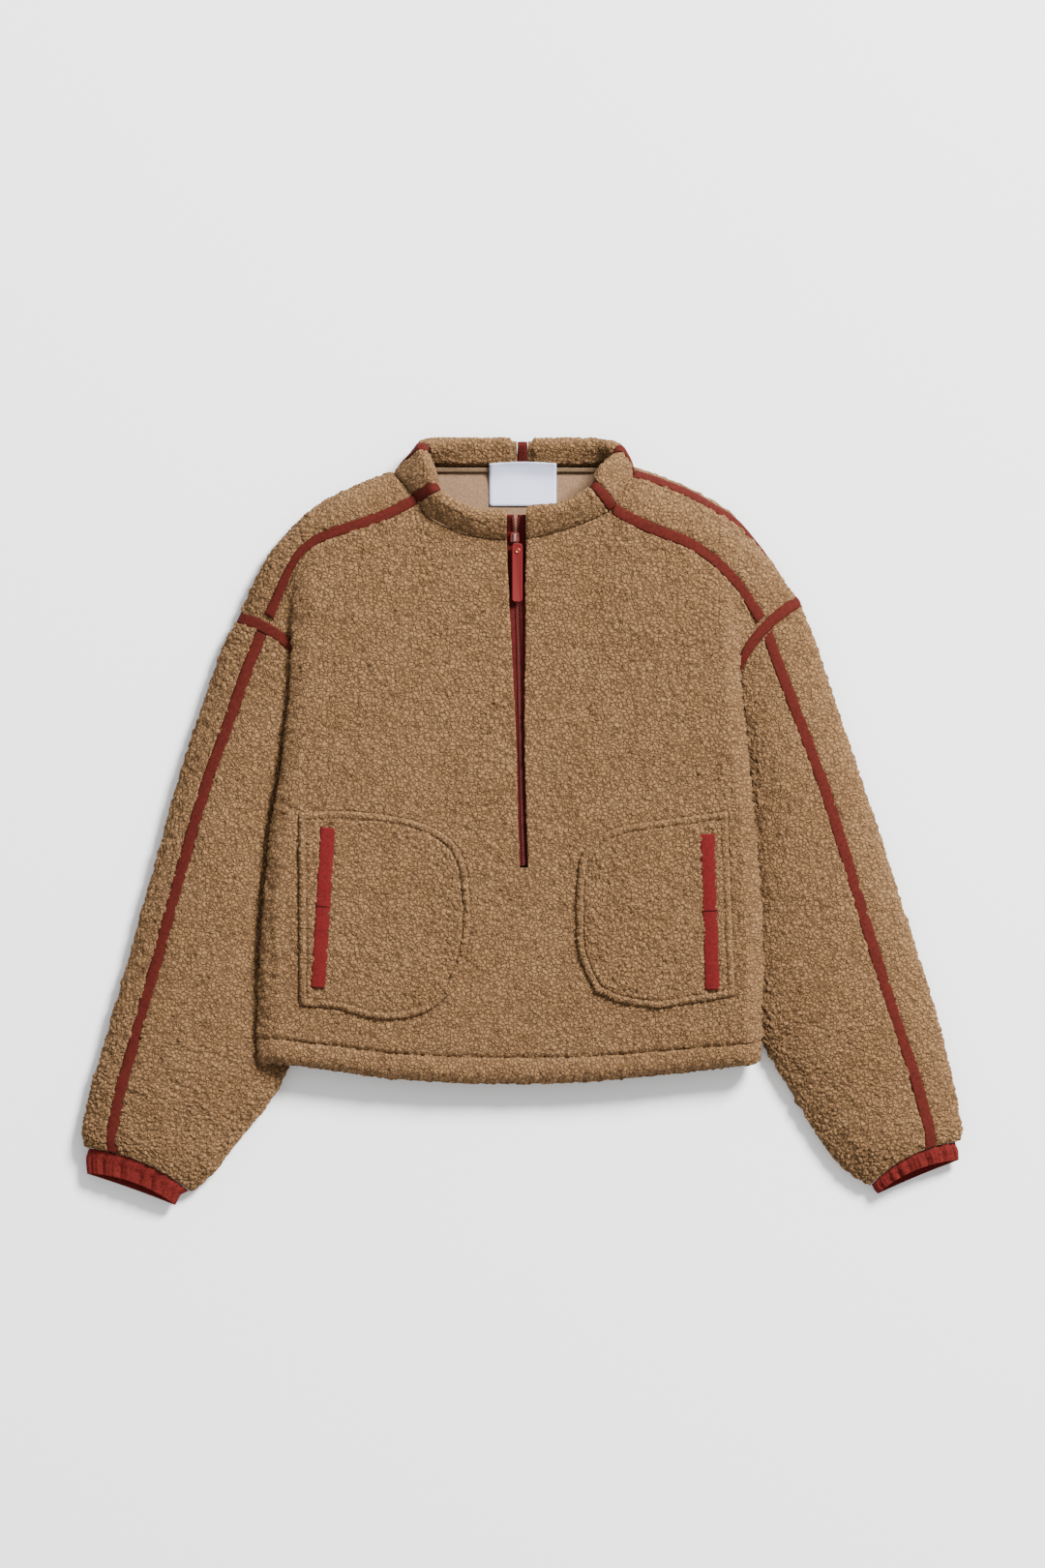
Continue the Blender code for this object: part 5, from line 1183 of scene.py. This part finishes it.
def strip(name, under, up, lift, thick, material, columns=7, replaced=None,
          camber=0.35):
    """A woven strip over the lines of points in under, given from one edge to the other.

    Its section is spread over more columns, bowed up in the middle by camber times 1 - x^2, where x runs from
    -1 to 1 across it, and closed all round. Its UV map is in centimetres, across by its mean width and along
    by its length."""
    across = np.linspace(0, 1, columns)
    grid = np.stack([along(row, across) for row in under])
    normals = normals_of(grid, up)
    bow = camber * (1 - (2 * across - 1) ** 2)
    wave = 0.35 * soft_noise(grid, 14.0, 91)
    top = grid + normals * (lift + thick + bow + wave)[..., None]
    low = grid + normals * (lift + bow * 0.5 + wave)[..., None]
    rings = np.concatenate([top, low[:, ::-1]], axis=1)
    run = np.concatenate([[0], np.cumsum(np.linalg.norm(np.diff(grid[:, columns // 2], axis=0), axis=-1))])
    width = np.linalg.norm(np.diff(grid, axis=1), axis=-1).sum(axis=1).mean()
    u = np.concatenate([across, across[::-1]]) * width / 10
    uv = np.stack(np.broadcast_arrays(u[None, :], run[:, None] / 10), axis=-1).reshape(-1, 2)
    item = closed_roll(name, rings, [material], uv=uv)
    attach(item, BODY)
    if replaced:
        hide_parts(replaced)


def seam_tape(part, place, under, up, lift=0.3):
    """The tape over one seam of a part, lying lift above the lines in under."""
    strip(f"tape_{part}_{place}", under, up, lift, TAPE_THICK, TAPE, replaced=f"{part}_tape_{place}")


def seam_tapes(side):
    """The tapes over the shoulder, sleeve and armhole seams of one side."""
    fold = FOLD_START[side]
    outward = (-1, 0, 0) if side == "left" else (1, 0, 0)

    def shoulder(t, q):
        """Points of the shoulder strip."""
        return shoulder_points(side, t, q)[0]

    def sleeve(s, a):
        """Points of the sleeve."""
        return sleeve_points(side, s, a)[0]

    t = np.concatenate([np.linspace(0.003, fold, 60), np.linspace(fold, 0.945, 40)[1:]])
    under = across_seam(shoulder, t, 0 * t, 0, 1)
    under[:, 0] = beside_shoulder_seam(side, t, HALF_TAPE)
    seam_tape("shoulder", f"front_{side}", under, UP)
    seam_tape("shoulder", f"back_{side}", across_seam(shoulder, t, np.ones_like(t), 0, -1), outward, 0.6)
    s = np.linspace(SLEEVE_TAPE_START, 0.997, 240)
    seam_tape("sleeve", f"front_{side}", across_seam(sleeve, s, front_seam(side, s), 0, 1), UP)
    seam_tape("sleeve", f"back_{side}", across_seam(sleeve, s, 0 * s + BACK_SEAM, 0, 1), outward)

    corner = float(front_seam(side, np.array(0.0)))
    a = np.concatenate([np.linspace(ARM_TAPE_END[side], corner, 36),
                        np.linspace(corner, BACK_SEAM - 0.02, 50)[1:]])
    q = (a - corner) / (BACK_SEAM - corner)
    on_strip = step_off(shoulder, 1 + 0 * q, np.clip(q, 0, 2), -1, 0, HALF_TAPE)
    arm_rows = np.array(ARM_SIDE[side], float)[:, 0]
    v = np.interp(-a, -np.concatenate([arm_rows, [corner]]), np.arange(SIDE_ROWS, LAST_ROW + 1))
    on_flap = step_off(lambda x, y: flap_points(side, x, y), 1 + 0 * v, v, -1, 0, HALF_TAPE)
    under = np.stack([np.where((a > corner)[:, None], on_flap, on_strip), sleeve(0 * a, a),
                      step_off(sleeve, 0 * a, a, 1, 0, HALF_TAPE)], axis=1)
    seam_tape("armhole", side, under, UP, 0.6)


def collar_tapes(side):
    """The tapes over the two seams across the collar of one side."""
    for name, row, reach, up, lift in (("front", COLLAR_SIDE_ROW, 0.3, UP, 0.6),
                                       ("back", COLLAR_BACK_ROW, 0.2, (0, 1, 1), 0.8)):
        rings = collar_ring(side, np.array([row - reach, row, row + reach]))[:, 0:6]
        rings = np.stack([along(ring, np.linspace(0, 1, 30)) for ring in rings])
        share = np.minimum(TAPE_WIDTH / np.linalg.norm(rings[2] - rings[0], axis=-1), 1.0)[:, None]
        under = np.stack([rings[1] + (rings[0] - rings[1]) * share, rings[1],
                          rings[1] + (rings[2] - rings[1]) * share], axis=1)
        seam_tape("collar", f"{name}_{side}", under[1:], up, lift)


for side in SIDES:
    seam_tapes(side)
    collar_tapes(side)

middle = [collar_ring(side, np.array([10.0]), inset=1.8)[0] for side in SIDES]
middle = [along(ring, np.linspace(0, 1, 40)) for ring in middle]
middle[0][:, 0] += 0.6
middle[1][:, 0] -= 0.6
under = np.stack([middle[0], (middle[0] + middle[1]) / 2, middle[1]], axis=1)
under[..., 1] = np.maximum(under[..., 1], NECK_BACK_Y + SEAM_GAP)
seam_tape("collar", "centre", under, (0, 1, 1), -0.6)

# ---- cuffs ------------------------------------------------------------------------------------------
# A short cuff of thin red cloth is gathered over elastic and sewn to the end of each sleeve. It is a tube,
# open at its end and 2 mm thick, with about 20 uneven gathers.

CUFF_WALL = 2.0
# Free end of each cuff: outer_x, outer_y, inner_x, inner_y; the second row is the middle of the cuff.
CUFF = {
    "left": [(-415, -311, -323, -350), (-416, -322, -327, -357), (-415, -335, -331, -365)],
    "right": [(412, -306, 331, -346), (413.5, -314, 334, -351), (414, -322, 337, -354)],
}
CUFF_BOW = 9.0           # how much shorter the cuff is on its upper side
CUFF_HEIGHT = [24.0, 22.0, 21.0]
# Gathers: how many round the cuff, their height, and how far, how often and from where their phase wanders.
GATHERS = [(18, 1.0, 1.3, 3, 0.0), (31, 0.45, 2.1, 2, 0.7), (57, 0.2, 1.7, 5, 0.0)]
GATHER_HEIGHT = 1.7


def cuff_cloth():
    """Thin knitted cuff cloth: matt red, its fine ribs running round the cuff 1.1 mm apart."""
    made, tree, shader, spot = new_material("gathered_cuff_cloth",
                                            {"Roughness": 0.85, "Specular IOR Level": 0.06})
    uv = add_node(tree, "ShaderNodeUVMap", uv_map="UVMap").outputs[0]
    place = add_node(tree, "ShaderNodeSeparateXYZ", links={0: uv})
    turn = add_node(tree, "ShaderNodeMath", {1: CM_WAVE / 1.1}, {0: place.outputs[0]}, operation="MULTIPLY")
    ribs = add_node(tree, "ShaderNodeMath", links={0: turn.outputs[0]}, operation="SINE")
    fluff = add_node(tree, "ShaderNodeTexNoise", {"Scale": 520.0, "Detail": 4.0}, {"Vector": spot})
    tone = add_node(tree, "ShaderNodeMath", {1: 0.12}, {0: ribs.outputs[0], 2: fluff.outputs["Fac"]},
                    operation="MULTIPLY_ADD").outputs[0]
    coat(tree, shader, tone, [(0.3, "3C110E"), (0.7, "611E1A")], tone, 0.6, 0.0004)
    return made


CUFF_CLOTH = cuff_cloth()


def cuff_piece(side):
    """A cuff: rings of points from the sleeve's end to the free edge outside, and back inside.

    Its wall goes out and in by the gathers, three cosines of the angle f whose own phases wander."""
    f = np.linspace(0, 2 * np.pi, int(520 / FINE), endpoint=False)
    a = np.where(f <= np.pi, f / np.pi, f / np.pi - 2)
    sewn_to, out = sleeve_points(side, np.ones_like(a), a)
    before, _ = sleeve_points(side, np.full_like(a, 0.99), a)
    sewn_to = sewn_to + unit(sewn_to - before) * 0.9
    gathers = sum(high * np.cos(count * f + far * np.sin(often * f) + start)
                  for count, high, far, often, start in GATHERS)
    upper = np.sin(f) > 0
    table = np.array(CUFF[side], float)

    def ring(place, depth):
        """Section of the cuff at a place, 0 where it is sewn on to 1 at its free edge, and depth in its wall:
        an ellipse in f, bowed in plan, that grows out of the sleeve's own section."""
        row = along(table, max(place, 0.35))
        outer, inner = row[0:2], row[2:4]
        height = np.interp(place, [0, 0.5, 1], CUFF_HEIGHT)
        half = np.linalg.norm(outer - inner) / 2
        across = unit(outer - inner)
        ahead = np.array([-across[1], across[0]])
        ahead = ahead if ahead[1] > 0 else -ahead
        x = (half - depth) * np.cos(f)
        seamed = 0.75 + 0.25 * np.cos(2 * np.pi * (place - 0.5))
        grow = GATHER_HEIGHT * seamed * (0.5 + 0.5 * place) * gathers
        z = height / 2 + (height / 2 - depth + grow * np.where(upper, 1.0, 0.25)) * np.sin(f)
        bow = (1 - (x / half) ** 2) * np.where(upper, CUFF_BOW * 0.75 * (0.6 + 0.4 * place), 1.0)
        plan = (outer + inner) / 2 + x[:, None] * across + bow[:, None] * ahead
        free = xyz(plan, np.maximum(z, 0.05))
        sewn = sewn_to - out * (1.0 + depth) + out * (0.4 * gathers)[:, None]
        mix = ease(place, 0.0, 0.38)
        return sewn * (1 - mix) + free * mix

    places = np.linspace(0, 1, 26)
    rings = [ring(p, 0.0) for p in places] + [ring(1.012, 0.7), ring(1.012, 1.3)]
    rings += [ring(p, CUFF_WALL) for p in places[::-2]]
    rows, size = len(rings), len(f)
    index = np.arange(rows * size).reshape(rows, size)
    index = np.concatenate([index, index[:1]])
    beside = np.roll(index, -1, axis=1)
    faces = np.stack([index[:-1], beside[:-1], beside[1:], index[1:]], axis=-1).reshape(-1, 4)
    v = np.linspace(0, 9, rows)[:, None] + 0 * f[None, :]
    u = 0 * v + (f / (2 * np.pi) * 21)[None, :]
    uv = np.stack([v, u], axis=-1).reshape(-1, 2)
    item = mesh_piece(f"cuff_cloth_{side}", np.concatenate(rings), faces, [CUFF_CLOTH], uv=uv)
    turn_out(item)
    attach(item, BODY)
    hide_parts(f"cuff_{side}")


for side in SIDES:
    cuff_piece(side)

# ---- pockets ----------------------------------------------------------------------------------------
# On each side a D-shaped patch of the same fleece is stitched to the front 6 mm inside its edge. Its opening
# is bound with a strip of woven tape, which lies between two banks of pile and has a cross stitch halfway.

POCKET_CUT = (186, 205)  # width and height of the patch
POCKET_THICK = 2.6
STITCH_IN = 6.4          # the stitched groove, in from the patch's edge
WELT = {"left": ((-186.3, -6), (-195.5, -158)), "right": ((175, -12), (180, -160))}
WELT_WIDTH = 14.0


def on_front(plan):
    """Points of the front and its normals over plan positions, found by Newton's steps."""
    plan = np.asarray(plan, float)
    w, v = np.meshgrid(np.linspace(0, 1, 41), np.linspace(0, LAST_ROW, 57), indexing="ij")
    known = front_points(w, v)[..., :2]
    gap = np.linalg.norm(known[None] - plan.reshape(-1, 1, 1, 2), axis=-1)
    best = gap.reshape(gap.shape[0], -1).argmin(axis=1)
    w = w.reshape(-1)[best].reshape(plan.shape[:-1])
    v = v.reshape(-1)[best].reshape(plan.shape[:-1])
    for _ in range(12):
        here = front_points(w, v)
        du = (front_points(w + 1e-4, v) - here) / 1e-4
        dv = (front_points(w, v + 1e-3) - here) / 1e-3
        miss = plan - here[..., :2]
        area = du[..., 0] * dv[..., 1] - du[..., 1] * dv[..., 0]
        w = np.clip(w + (miss[..., 0] * dv[..., 1] - miss[..., 1] * dv[..., 0]) / area, 0, 0.999)
        v = np.clip(v + (miss[..., 1] * du[..., 0] - miss[..., 0] * du[..., 1]) / area, 0, LAST_ROW - 0.01)
    return front_points(w, v), unit(np.cross(du, dv))


def pocket_plan(side):
    """Plan grid over the D of a pocket: a patch spanned between its four sides, less its corners' share."""
    table, u = np.array(POCKET[side], float), np.linspace(0, 1, 9)
    upper, round_side, lower = along(table[0:6], u), along(table[5:9], u), along(table[8:13][::-1], u)
    r, c = u[:, None, None], u[None, :, None]
    straight = table[0] * (1 - r) + table[-1] * r
    corners = straight * (1 - c) + (table[5] * (1 - r) + table[8] * r) * c
    return upper[None] * (1 - r) + lower[None] * r + straight * (1 - c) + round_side[:, None] * c - corners


def spread(grid, count):
    """A coarse grid carried on smoothly to count rows and columns."""
    share = np.linspace(0, 1, count)
    rows = np.stack([along(row, share) for row in grid])
    return np.stack([along(rows[:, k], share) for k in range(count)], axis=1)


def pocket_patch(side, ends):
    """The patch of one pocket on the front's own surface. Its pile gives way at its edge, at its stitched
    groove and under its welt, whose line runs between the two ends."""
    points, normals = on_front(pocket_plan(side))
    count = counts(POCKET_CUT[1], 1.6)
    points, normals = spread(points, count), unit(spread(normals, count))
    points[..., 2] += cloth_swell(points) * BODY_SWELL
    edge = -outline_distance(points, pocket_outline(side))
    groove = np.exp(-((edge - STITCH_IN) / 1.5) ** 2)
    line = ends[0] + (ends[1] - ends[0]) * np.linspace(0, 1, 90)[:, None]
    away = np.linalg.norm(points[..., None, :2] - line, axis=-1).min(axis=-1)
    plump = 1.0 - 0.8 * ease(-edge, -2.0, 0.0) - 0.55 * groove
    plump *= ease(away + 1.5 * soft_noise(points, 3.0, 71), 4.6, 6.6) * 0.97 + 0.03
    height = 0.7 + 2.3 * ease(edge, -0.5, 2.5) + 0.9 * np.exp(-((edge - 3.0) / 1.9) ** 2) - 0.5 * groove
    base = points + normals * height[..., None]
    item = pile_piece(f"fleece_pocket_{side}", base, -normals * 0.6, UP, hold=np.clip(plump, 0.03, 1))
    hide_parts(f"pocket_{side}")


def pocket_welt(side, ends):
    """The welt over the pocket's opening, and the thread of its cross stitch: an arc over its middle."""
    run = unit(ends[1] - ends[0])
    across = np.array([-run[1], run[0]]) * WELT_WIDTH / 2
    line = ends[0] + (ends[1] - ends[0]) * np.linspace(0, 1, 9)[:, None]
    places, _ = on_front(np.stack([line - across, line, line + across], axis=1))
    places = np.stack([along(places[:, k], np.linspace(0, 1, 90)) for k in range(3)], axis=1)
    places[..., 2] += cloth_swell(places) * BODY_SWELL
    strip(f"welt_{side}", places, UP, POCKET_THICK + 0.8, 1.6, WELT_TAPE, columns=9,
          replaced=f"pocket_welt_{side}", camber=0.8)
    arc = 0.8 * np.sin(np.linspace(0, np.pi, 24))
    line = along(places[len(places) // 2 - 1], np.linspace(0.04, 0.96, 24))
    line[:, 2] += arc + POCKET_THICK + 2.5
    f = np.linspace(0, 2 * np.pi, 10, endpoint=False)
    thick = 0.55 * np.cos(f)[:, None] * np.append(run, 0) + 0.45 * np.sin(f)[:, None] * [0, 0, 1]
    bar = closed_roll(f"stitch_welt_{side}", line[:, None] + thick[None], [WELT_THREAD])
    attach(bar, BODY)


WELT_THREAD = tape_material("welt_sewing_thread", "1F0706", "330C0B", 0.5)
WELT_TAPE = tape_material("woven_welt_tape", "42100F", "5F1718", 1.2)
for side in SIDES:
    ends = np.array(WELT[side], float)
    pocket_patch(side, ends)
    pocket_welt(side, ends)

# ---- zip --------------------------------------------------------------------------------------------
# A half zip: two woven tapes with a moulded chain between them, closed below the slider. The slider is
# painted metal and its pull is a rubber tab held by a brass rivet.

ZIP_SINK = 2.8           # zip tapes below the front's surface
ZIP_ABOVE = [(276.0, 37.6), (284.0, 43.5), (ZIP_TOP, 48.5)]   # y, z of the tapes beside the collar
PULL_PIVOT = (-8.3, 268.2)
PULL_ENDS = (265.4, 208.4)      # y of the pull's pivot end and of its free end
PULL_OVER = 2.6                 # underside of the pull above the front's top
RIVET = (-5.5, 257.1)
SLIDER_Y = 272.0
OPEN_FROM = 275.0               # above this the two rows of teeth are parted
CHAIN_WIDTH = 4.6
TOOTH_PITCH = 1.35
TOOTH_SHIFT = 0.6               # each tooth to its own side of the chain's middle


def zip_line():
    """Stations of the zip from its foot to its top: left edge, middle and right edge of the opening."""
    rows = np.arange(SLIT_ROW, LAST_ROW + 1)
    left, right = slit_edges(rows)
    left[0, 1] += 1.5
    right[0, 1] += 1.5
    left[-1, 1] = right[-1, 1] = CENTRE_Y[-1] - 1.0
    for end in (left, right):
        end[:, 2] -= ZIP_SINK
    stations = np.array(ZIP_STATIONS, float)[::-1]
    for y, z in ZIP_ABOVE:
        middle = np.interp(y, stations[:, 0], stations[:, 1])
        half = np.interp(y, stations[:, 0], stations[:, 2])
        left = np.concatenate([left, [[middle - half, y, z]]])
        right = np.concatenate([right, [[middle + half, y, z]]])
    return left, (left + right) / 2, right


def plain_finish(name, code, roughness, metallic=0.0, grain=900.0, shine=0.5):
    """A plain finish with a fine grain: moulded plastic or rubber, painted metal, or brass worn to a shine.

    The grain runs from 86 per cent of the colour to the whole of it."""
    made, tree, shader, spot = new_material(
        name, {"Roughness": roughness, "Metallic": metallic, "Specular IOR Level": shine})
    noise = add_node(tree, "ShaderNodeTexNoise", {"Scale": grain, "Detail": 3.0}, {"Vector": spot})
    dark = "".join(f"{int(int(code[i:i + 2], 16) * 0.86):02X}" for i in (0, 2, 4))
    tone = noise.outputs["Fac"]
    coat(tree, shader, tone, [(0.3, dark), (0.65, code)], tone, 0.6, 0.00008)
    return made


ZIP_TAPE = tape_material("woven_zip_tape", "38100F", "541918", 0.8)
TEETH = plain_finish("moulded_zip_teeth", "5C2320", 0.5, shine=0.25)         # acetal: a dull shine
PAINTED = plain_finish("painted_zip_slider", "66221E", 0.32, 0.3)            # enamel on zinc: a soft gloss
RUBBER = plain_finish("moulded_rubber_pull", "5E1616", 0.6, grain=1400.0, shine=0.12)     # smooth and matt
BARE = plain_finish("worn_zip_bridge", "A87F78", 0.3, 0.8)                   # zinc where the paint has worn
BRASS = plain_finish("coppered_brass_rivet", "A04A3C", 0.32, 0.9)            # plated: warm and bright


def rounded(low, high, radius, count=10):
    """Outline of a rectangle with round corners, as points in plan: four quarter turns."""
    f = np.linspace(0, np.pi / 2, count)
    centres = [(high[0] - radius, high[1] - radius), (low[0] + radius, high[1] - radius),
               (low[0] + radius, low[1] + radius), (high[0] - radius, low[1] + radius)]
    turns = [f + k * np.pi / 2 for k in range(4)]
    return np.concatenate([np.stack([x + radius * np.cos(t), y + radius * np.sin(t)], axis=-1)
                           for (x, y), t in zip(centres, turns)])


def turned_form(name, low, high, radius, profile, material, body):
    """A rounded form: the outline drawn in by each inset of the profile, at each of its heights."""
    low, high = np.array(low), np.array(high)
    rings = [xyz(rounded(low + inset, high - inset, max(radius - inset, 0.2)), z) for inset, z in profile]
    item = closed_roll(name, np.stack(rings), [material])
    item.data.set_sharp_from_angle(angle=np.radians(42))
    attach(item, body)
    return item


def zip_tapes():
    """The zip's two tapes, and the line between them that the teeth follow."""
    place = np.linspace(0, 1, 160)
    left, middle, right = zip_line()
    length = np.concatenate([[0], np.cumsum(np.linalg.norm(np.diff(middle, axis=0), axis=-1))])
    left, middle, right = [np.stack([np.interp(place * length[-1], length, axis) for axis in line.T], axis=-1)
                           for line in (left, middle, right)]
    apart = np.where(middle[:, 1] > OPEN_FROM, parting(middle[:, 1]), CHAIN_WIDTH / 2 + 0.1)
    half = apart[:, None] * [1, 0, 0]
    edges = {"left": (left - [1.0, 0, 0], middle - half), "right": (middle + half, right + [1.5, 0, 0])}
    for side, (a, b) in edges.items():
        strip(f"zip_tape_woven_{side}", np.stack([a, (a + b) / 2, b], axis=1), UP, -1.1, 1.0, ZIP_TAPE,
              columns=5, camber=0.0, replaced=f"zip_tape_{side}")
    return middle


def parting(y):
    """How far each row of teeth stands from the zip's middle above the slider: 0.06 mm more for each mm."""
    return 0.8 + 0.06 * (y - OPEN_FROM)


def zip_teeth(middle):
    """The teeth: moulded blocks, in turn to the left and right of the line, and in two rows where it is open.

    Each is a box whose top is drawn in, given by twelve corners."""
    y = np.arange(middle[0, 1] + 1, SLIDER_Y - 8, TOOTH_PITCH)
    sign = np.where(np.arange(len(y)) % 2 == 0, -1.0, 1.0)
    open_y = np.arange(OPEN_FROM + 1, 289.5, TOOTH_PITCH)
    parted = np.concatenate([0 * y, -parting(open_y), parting(open_y)])
    sign = np.concatenate([sign, 0 * open_y - 1, 0 * open_y + 1])
    y = np.concatenate([y, open_y, open_y])
    x = np.interp(y, middle[:, 1], middle[:, 0]) + parted + TOOTH_SHIFT * sign
    z = np.interp(y, middle[:, 1], middle[:, 2])
    square = np.array([(-1, -1), (1, -1), (1, 1), (-1, 1)])
    levels = [(1.55, 0.5, -0.9), (1.55, 0.5, 0.5), (1.24, 0.3, 0.9)]       # half width, half depth, height
    corner = np.concatenate([xyz(square * [a, b], c) for a, b, c in levels])
    points = np.stack([x, y, z], axis=-1)[:, None] + corner[None]
    ring = np.arange(4)
    walls = [np.stack([k + ring, k + (ring + 1) % 4, k + 4 + (ring + 1) % 4, k + 4 + ring], axis=-1)
             for k in (0, 4)]
    box = np.concatenate([[ring[::-1], ring + 8], *walls])
    faces = (box[None] + 12 * np.arange(len(y))[:, None, None]).reshape(-1, 4)
    item = mesh_piece("zip_teeth", points.reshape(-1, 3), faces, [TEETH])
    item.data.set_sharp_from_angle(angle=np.radians(30))
    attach(item, BODY)
    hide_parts("zip_chain")


def slider_and_pull():
    """The slider with its bridge, and the pull tab with its rivet, whose ring dips in the middle."""
    x, z = PULL_PIVOT[0], CENTRE_Z[-1] - ZIP_SINK
    slider = turned_form("slider_body", (x - 4.6, 264.6), (x + 4.6, 275.0), 2.4,
                         [(0.5, z + 1.7), (0.0, z + 2.2), (0.0, z + 3.2), (0.35, z + 3.7), (1.4, z + 4.0)],
                         PAINTED, BODY)
    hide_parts("zip_slider")
    turned_form("slider_bridge", (x - 1.7, 265.4), (x + 1.7, 273.6), 1.3,
                [(0.3, z + 3.8), (0.0, z + 4.4), (0.1, z + 5.4), (0.6, z + 6.0), (1.2, z + 6.2)],
                BARE, BODY)
    z = CENTRE_Z[-1] + PULL_OVER
    pull = turned_form("pull_tab", (-11.0, PULL_ENDS[1]), (-0.9, PULL_ENDS[0] - 1.2), 3.2,
                       [(0.6, z), (0.1, z + 0.4), (0.0, z + 1.2), (0.1, z + 1.9), (0.5, z + 2.3),
                        (1.1, z + 2.4), (1.5, z + 2.1), (1.8, z + 2.0)], RUBBER, "zip_pull")
    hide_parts("zip_pull")
    f = np.linspace(0, 2 * np.pi, 48, endpoint=False)
    profile = [(2.6, 2.0), (2.7, 2.6), (2.5, 3.0), (2.0, 3.2), (1.4, 3.0), (1.2, 2.5), (0.4, 2.4)]
    rings = [np.stack([RIVET[0] + r * np.cos(f), RIVET[1] + r * np.sin(f), 0 * f + z + h], axis=-1)
             for r, h in profile]
    rivet = closed_roll("rivet_eyelet", np.stack(rings), [BRASS])
    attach(rivet, "zip_pull")
    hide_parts("zip_rivet")


zip_teeth(zip_tapes())
slider_and_pull()

# ---- inside the neck --------------------------------------------------------------------------------
# A flat knitted binding covers the collar seam at the back of the neck. Under it hangs a woven satin label,
# 64 x 42 mm, which is left blank.

# Underside of the label, y and z, from its top edge down.
LABEL_PROFILE = [(341.8, 13.2), (336.0, 9.6), (328.0, 6.2), (318.0, 4.8), (299.5, 4.4)]


def satin():
    """Woven satin label: pale grey, a soft shine, its threads drawn 0.7 mm apart along it, coarse enough to
    show."""
    made, tree, shader, spot = new_material("woven_satin_label", {"Roughness": 0.5, "Sheen Weight": 0.2})
    threads = add_node(tree, "ShaderNodeTexWave", {"Scale": 450.0, "Distortion": 0.6}, {"Vector": spot},
                       bands_direction="Y")
    tone = threads.outputs["Fac"]
    coat(tree, shader, tone, [(0.1, "B9BFD6"), (0.9, "CCD1E4")], tone, 0.4, 0.0001)
    return made


across = np.linspace(-32.5, 31.3, 24)
share = np.linspace(0, 1, 30)[:, None]
down = along(np.array(LABEL_PROFILE), share[:, 0])
grid = np.stack(np.broadcast_arrays(across, down[:, :1], down[:, 1:]), axis=-1).copy()
grid[..., 1] -= 0.0016 * across ** 2 * (1 - share)                # its top edge follows the neck's curve
grid[..., 2] += 0.5 * np.cos(across / 17.0) * share ** 2          # and its lower edge ripples
strip("label_blank", grid[:, [0, 6, 12, 18, 23]], UP, 0.0, 0.8, satin(), columns=24,
      replaced="neck_label", camber=0.0)

x = np.linspace(-84, 78, 80)
line = np.stack([x, 0 * x + 335.0, 0 * x + 7.0], axis=-1)
under = np.stack([line + [0, -3.0, -0.8], line, line + [0, 1.2, 1.0]], axis=1)
BIND = tape_material("knitted_neck_binding", "5E4A36", "7A634C", 1.1)
strip("binding_knitted", under, UP, 0.0, 1.0, BIND, replaced="neck_binding")

# ---- floor, light and camera ------------------------------------------------------------------------
# The pullover lies on a plain pale surface under one large soft light from the upper right, with even
# light all round. The camera looks straight down without perspective, 0.92 mm to a pixel.

bpy.ops.mesh.primitive_plane_add(size=8.0, location=(0, 0, 0))
floor = bpy.context.object
floor.name = "floor"
surface = new_material("plain_pale_surface", {"Base Color": linear("F2F2F2"), "Roughness": 0.9})[0]
floor.data.materials.append(surface)

world = bpy.data.worlds.new("soft_room")
bpy.context.scene.world = world
world.use_nodes = True
world.node_tree.nodes["Background"].inputs["Color"].default_value = (1.0, 1.0, 1.0, 1.0)
world.node_tree.nodes["Background"].inputs["Strength"].default_value = 1.0

key = bpy.data.lights.new("key", "AREA")
key.shape, key.size, key.energy = "DISK", 2.4, 2270.0
lamp = bpy.data.objects.new("key", key)
lamp.location = (3.7, 4.4, 4.8)
bpy.context.scene.collection.objects.link(lamp)
aim = bpy.data.objects.new("key_aim", None)
bpy.context.scene.collection.objects.link(aim)
turn = lamp.constraints.new("TRACK_TO")
turn.target, turn.track_axis, turn.up_axis = aim, "TRACK_NEGATIVE_Z", "UP_Y"

view = bpy.data.cameras.new("above")
view.type, view.ortho_scale = "ORTHO", 1.4904
eye = bpy.data.objects.new("above", view)
eye.location = (-0.00092, 0.0354, 3.0)
bpy.context.scene.collection.objects.link(eye)
bpy.context.scene.camera = eye
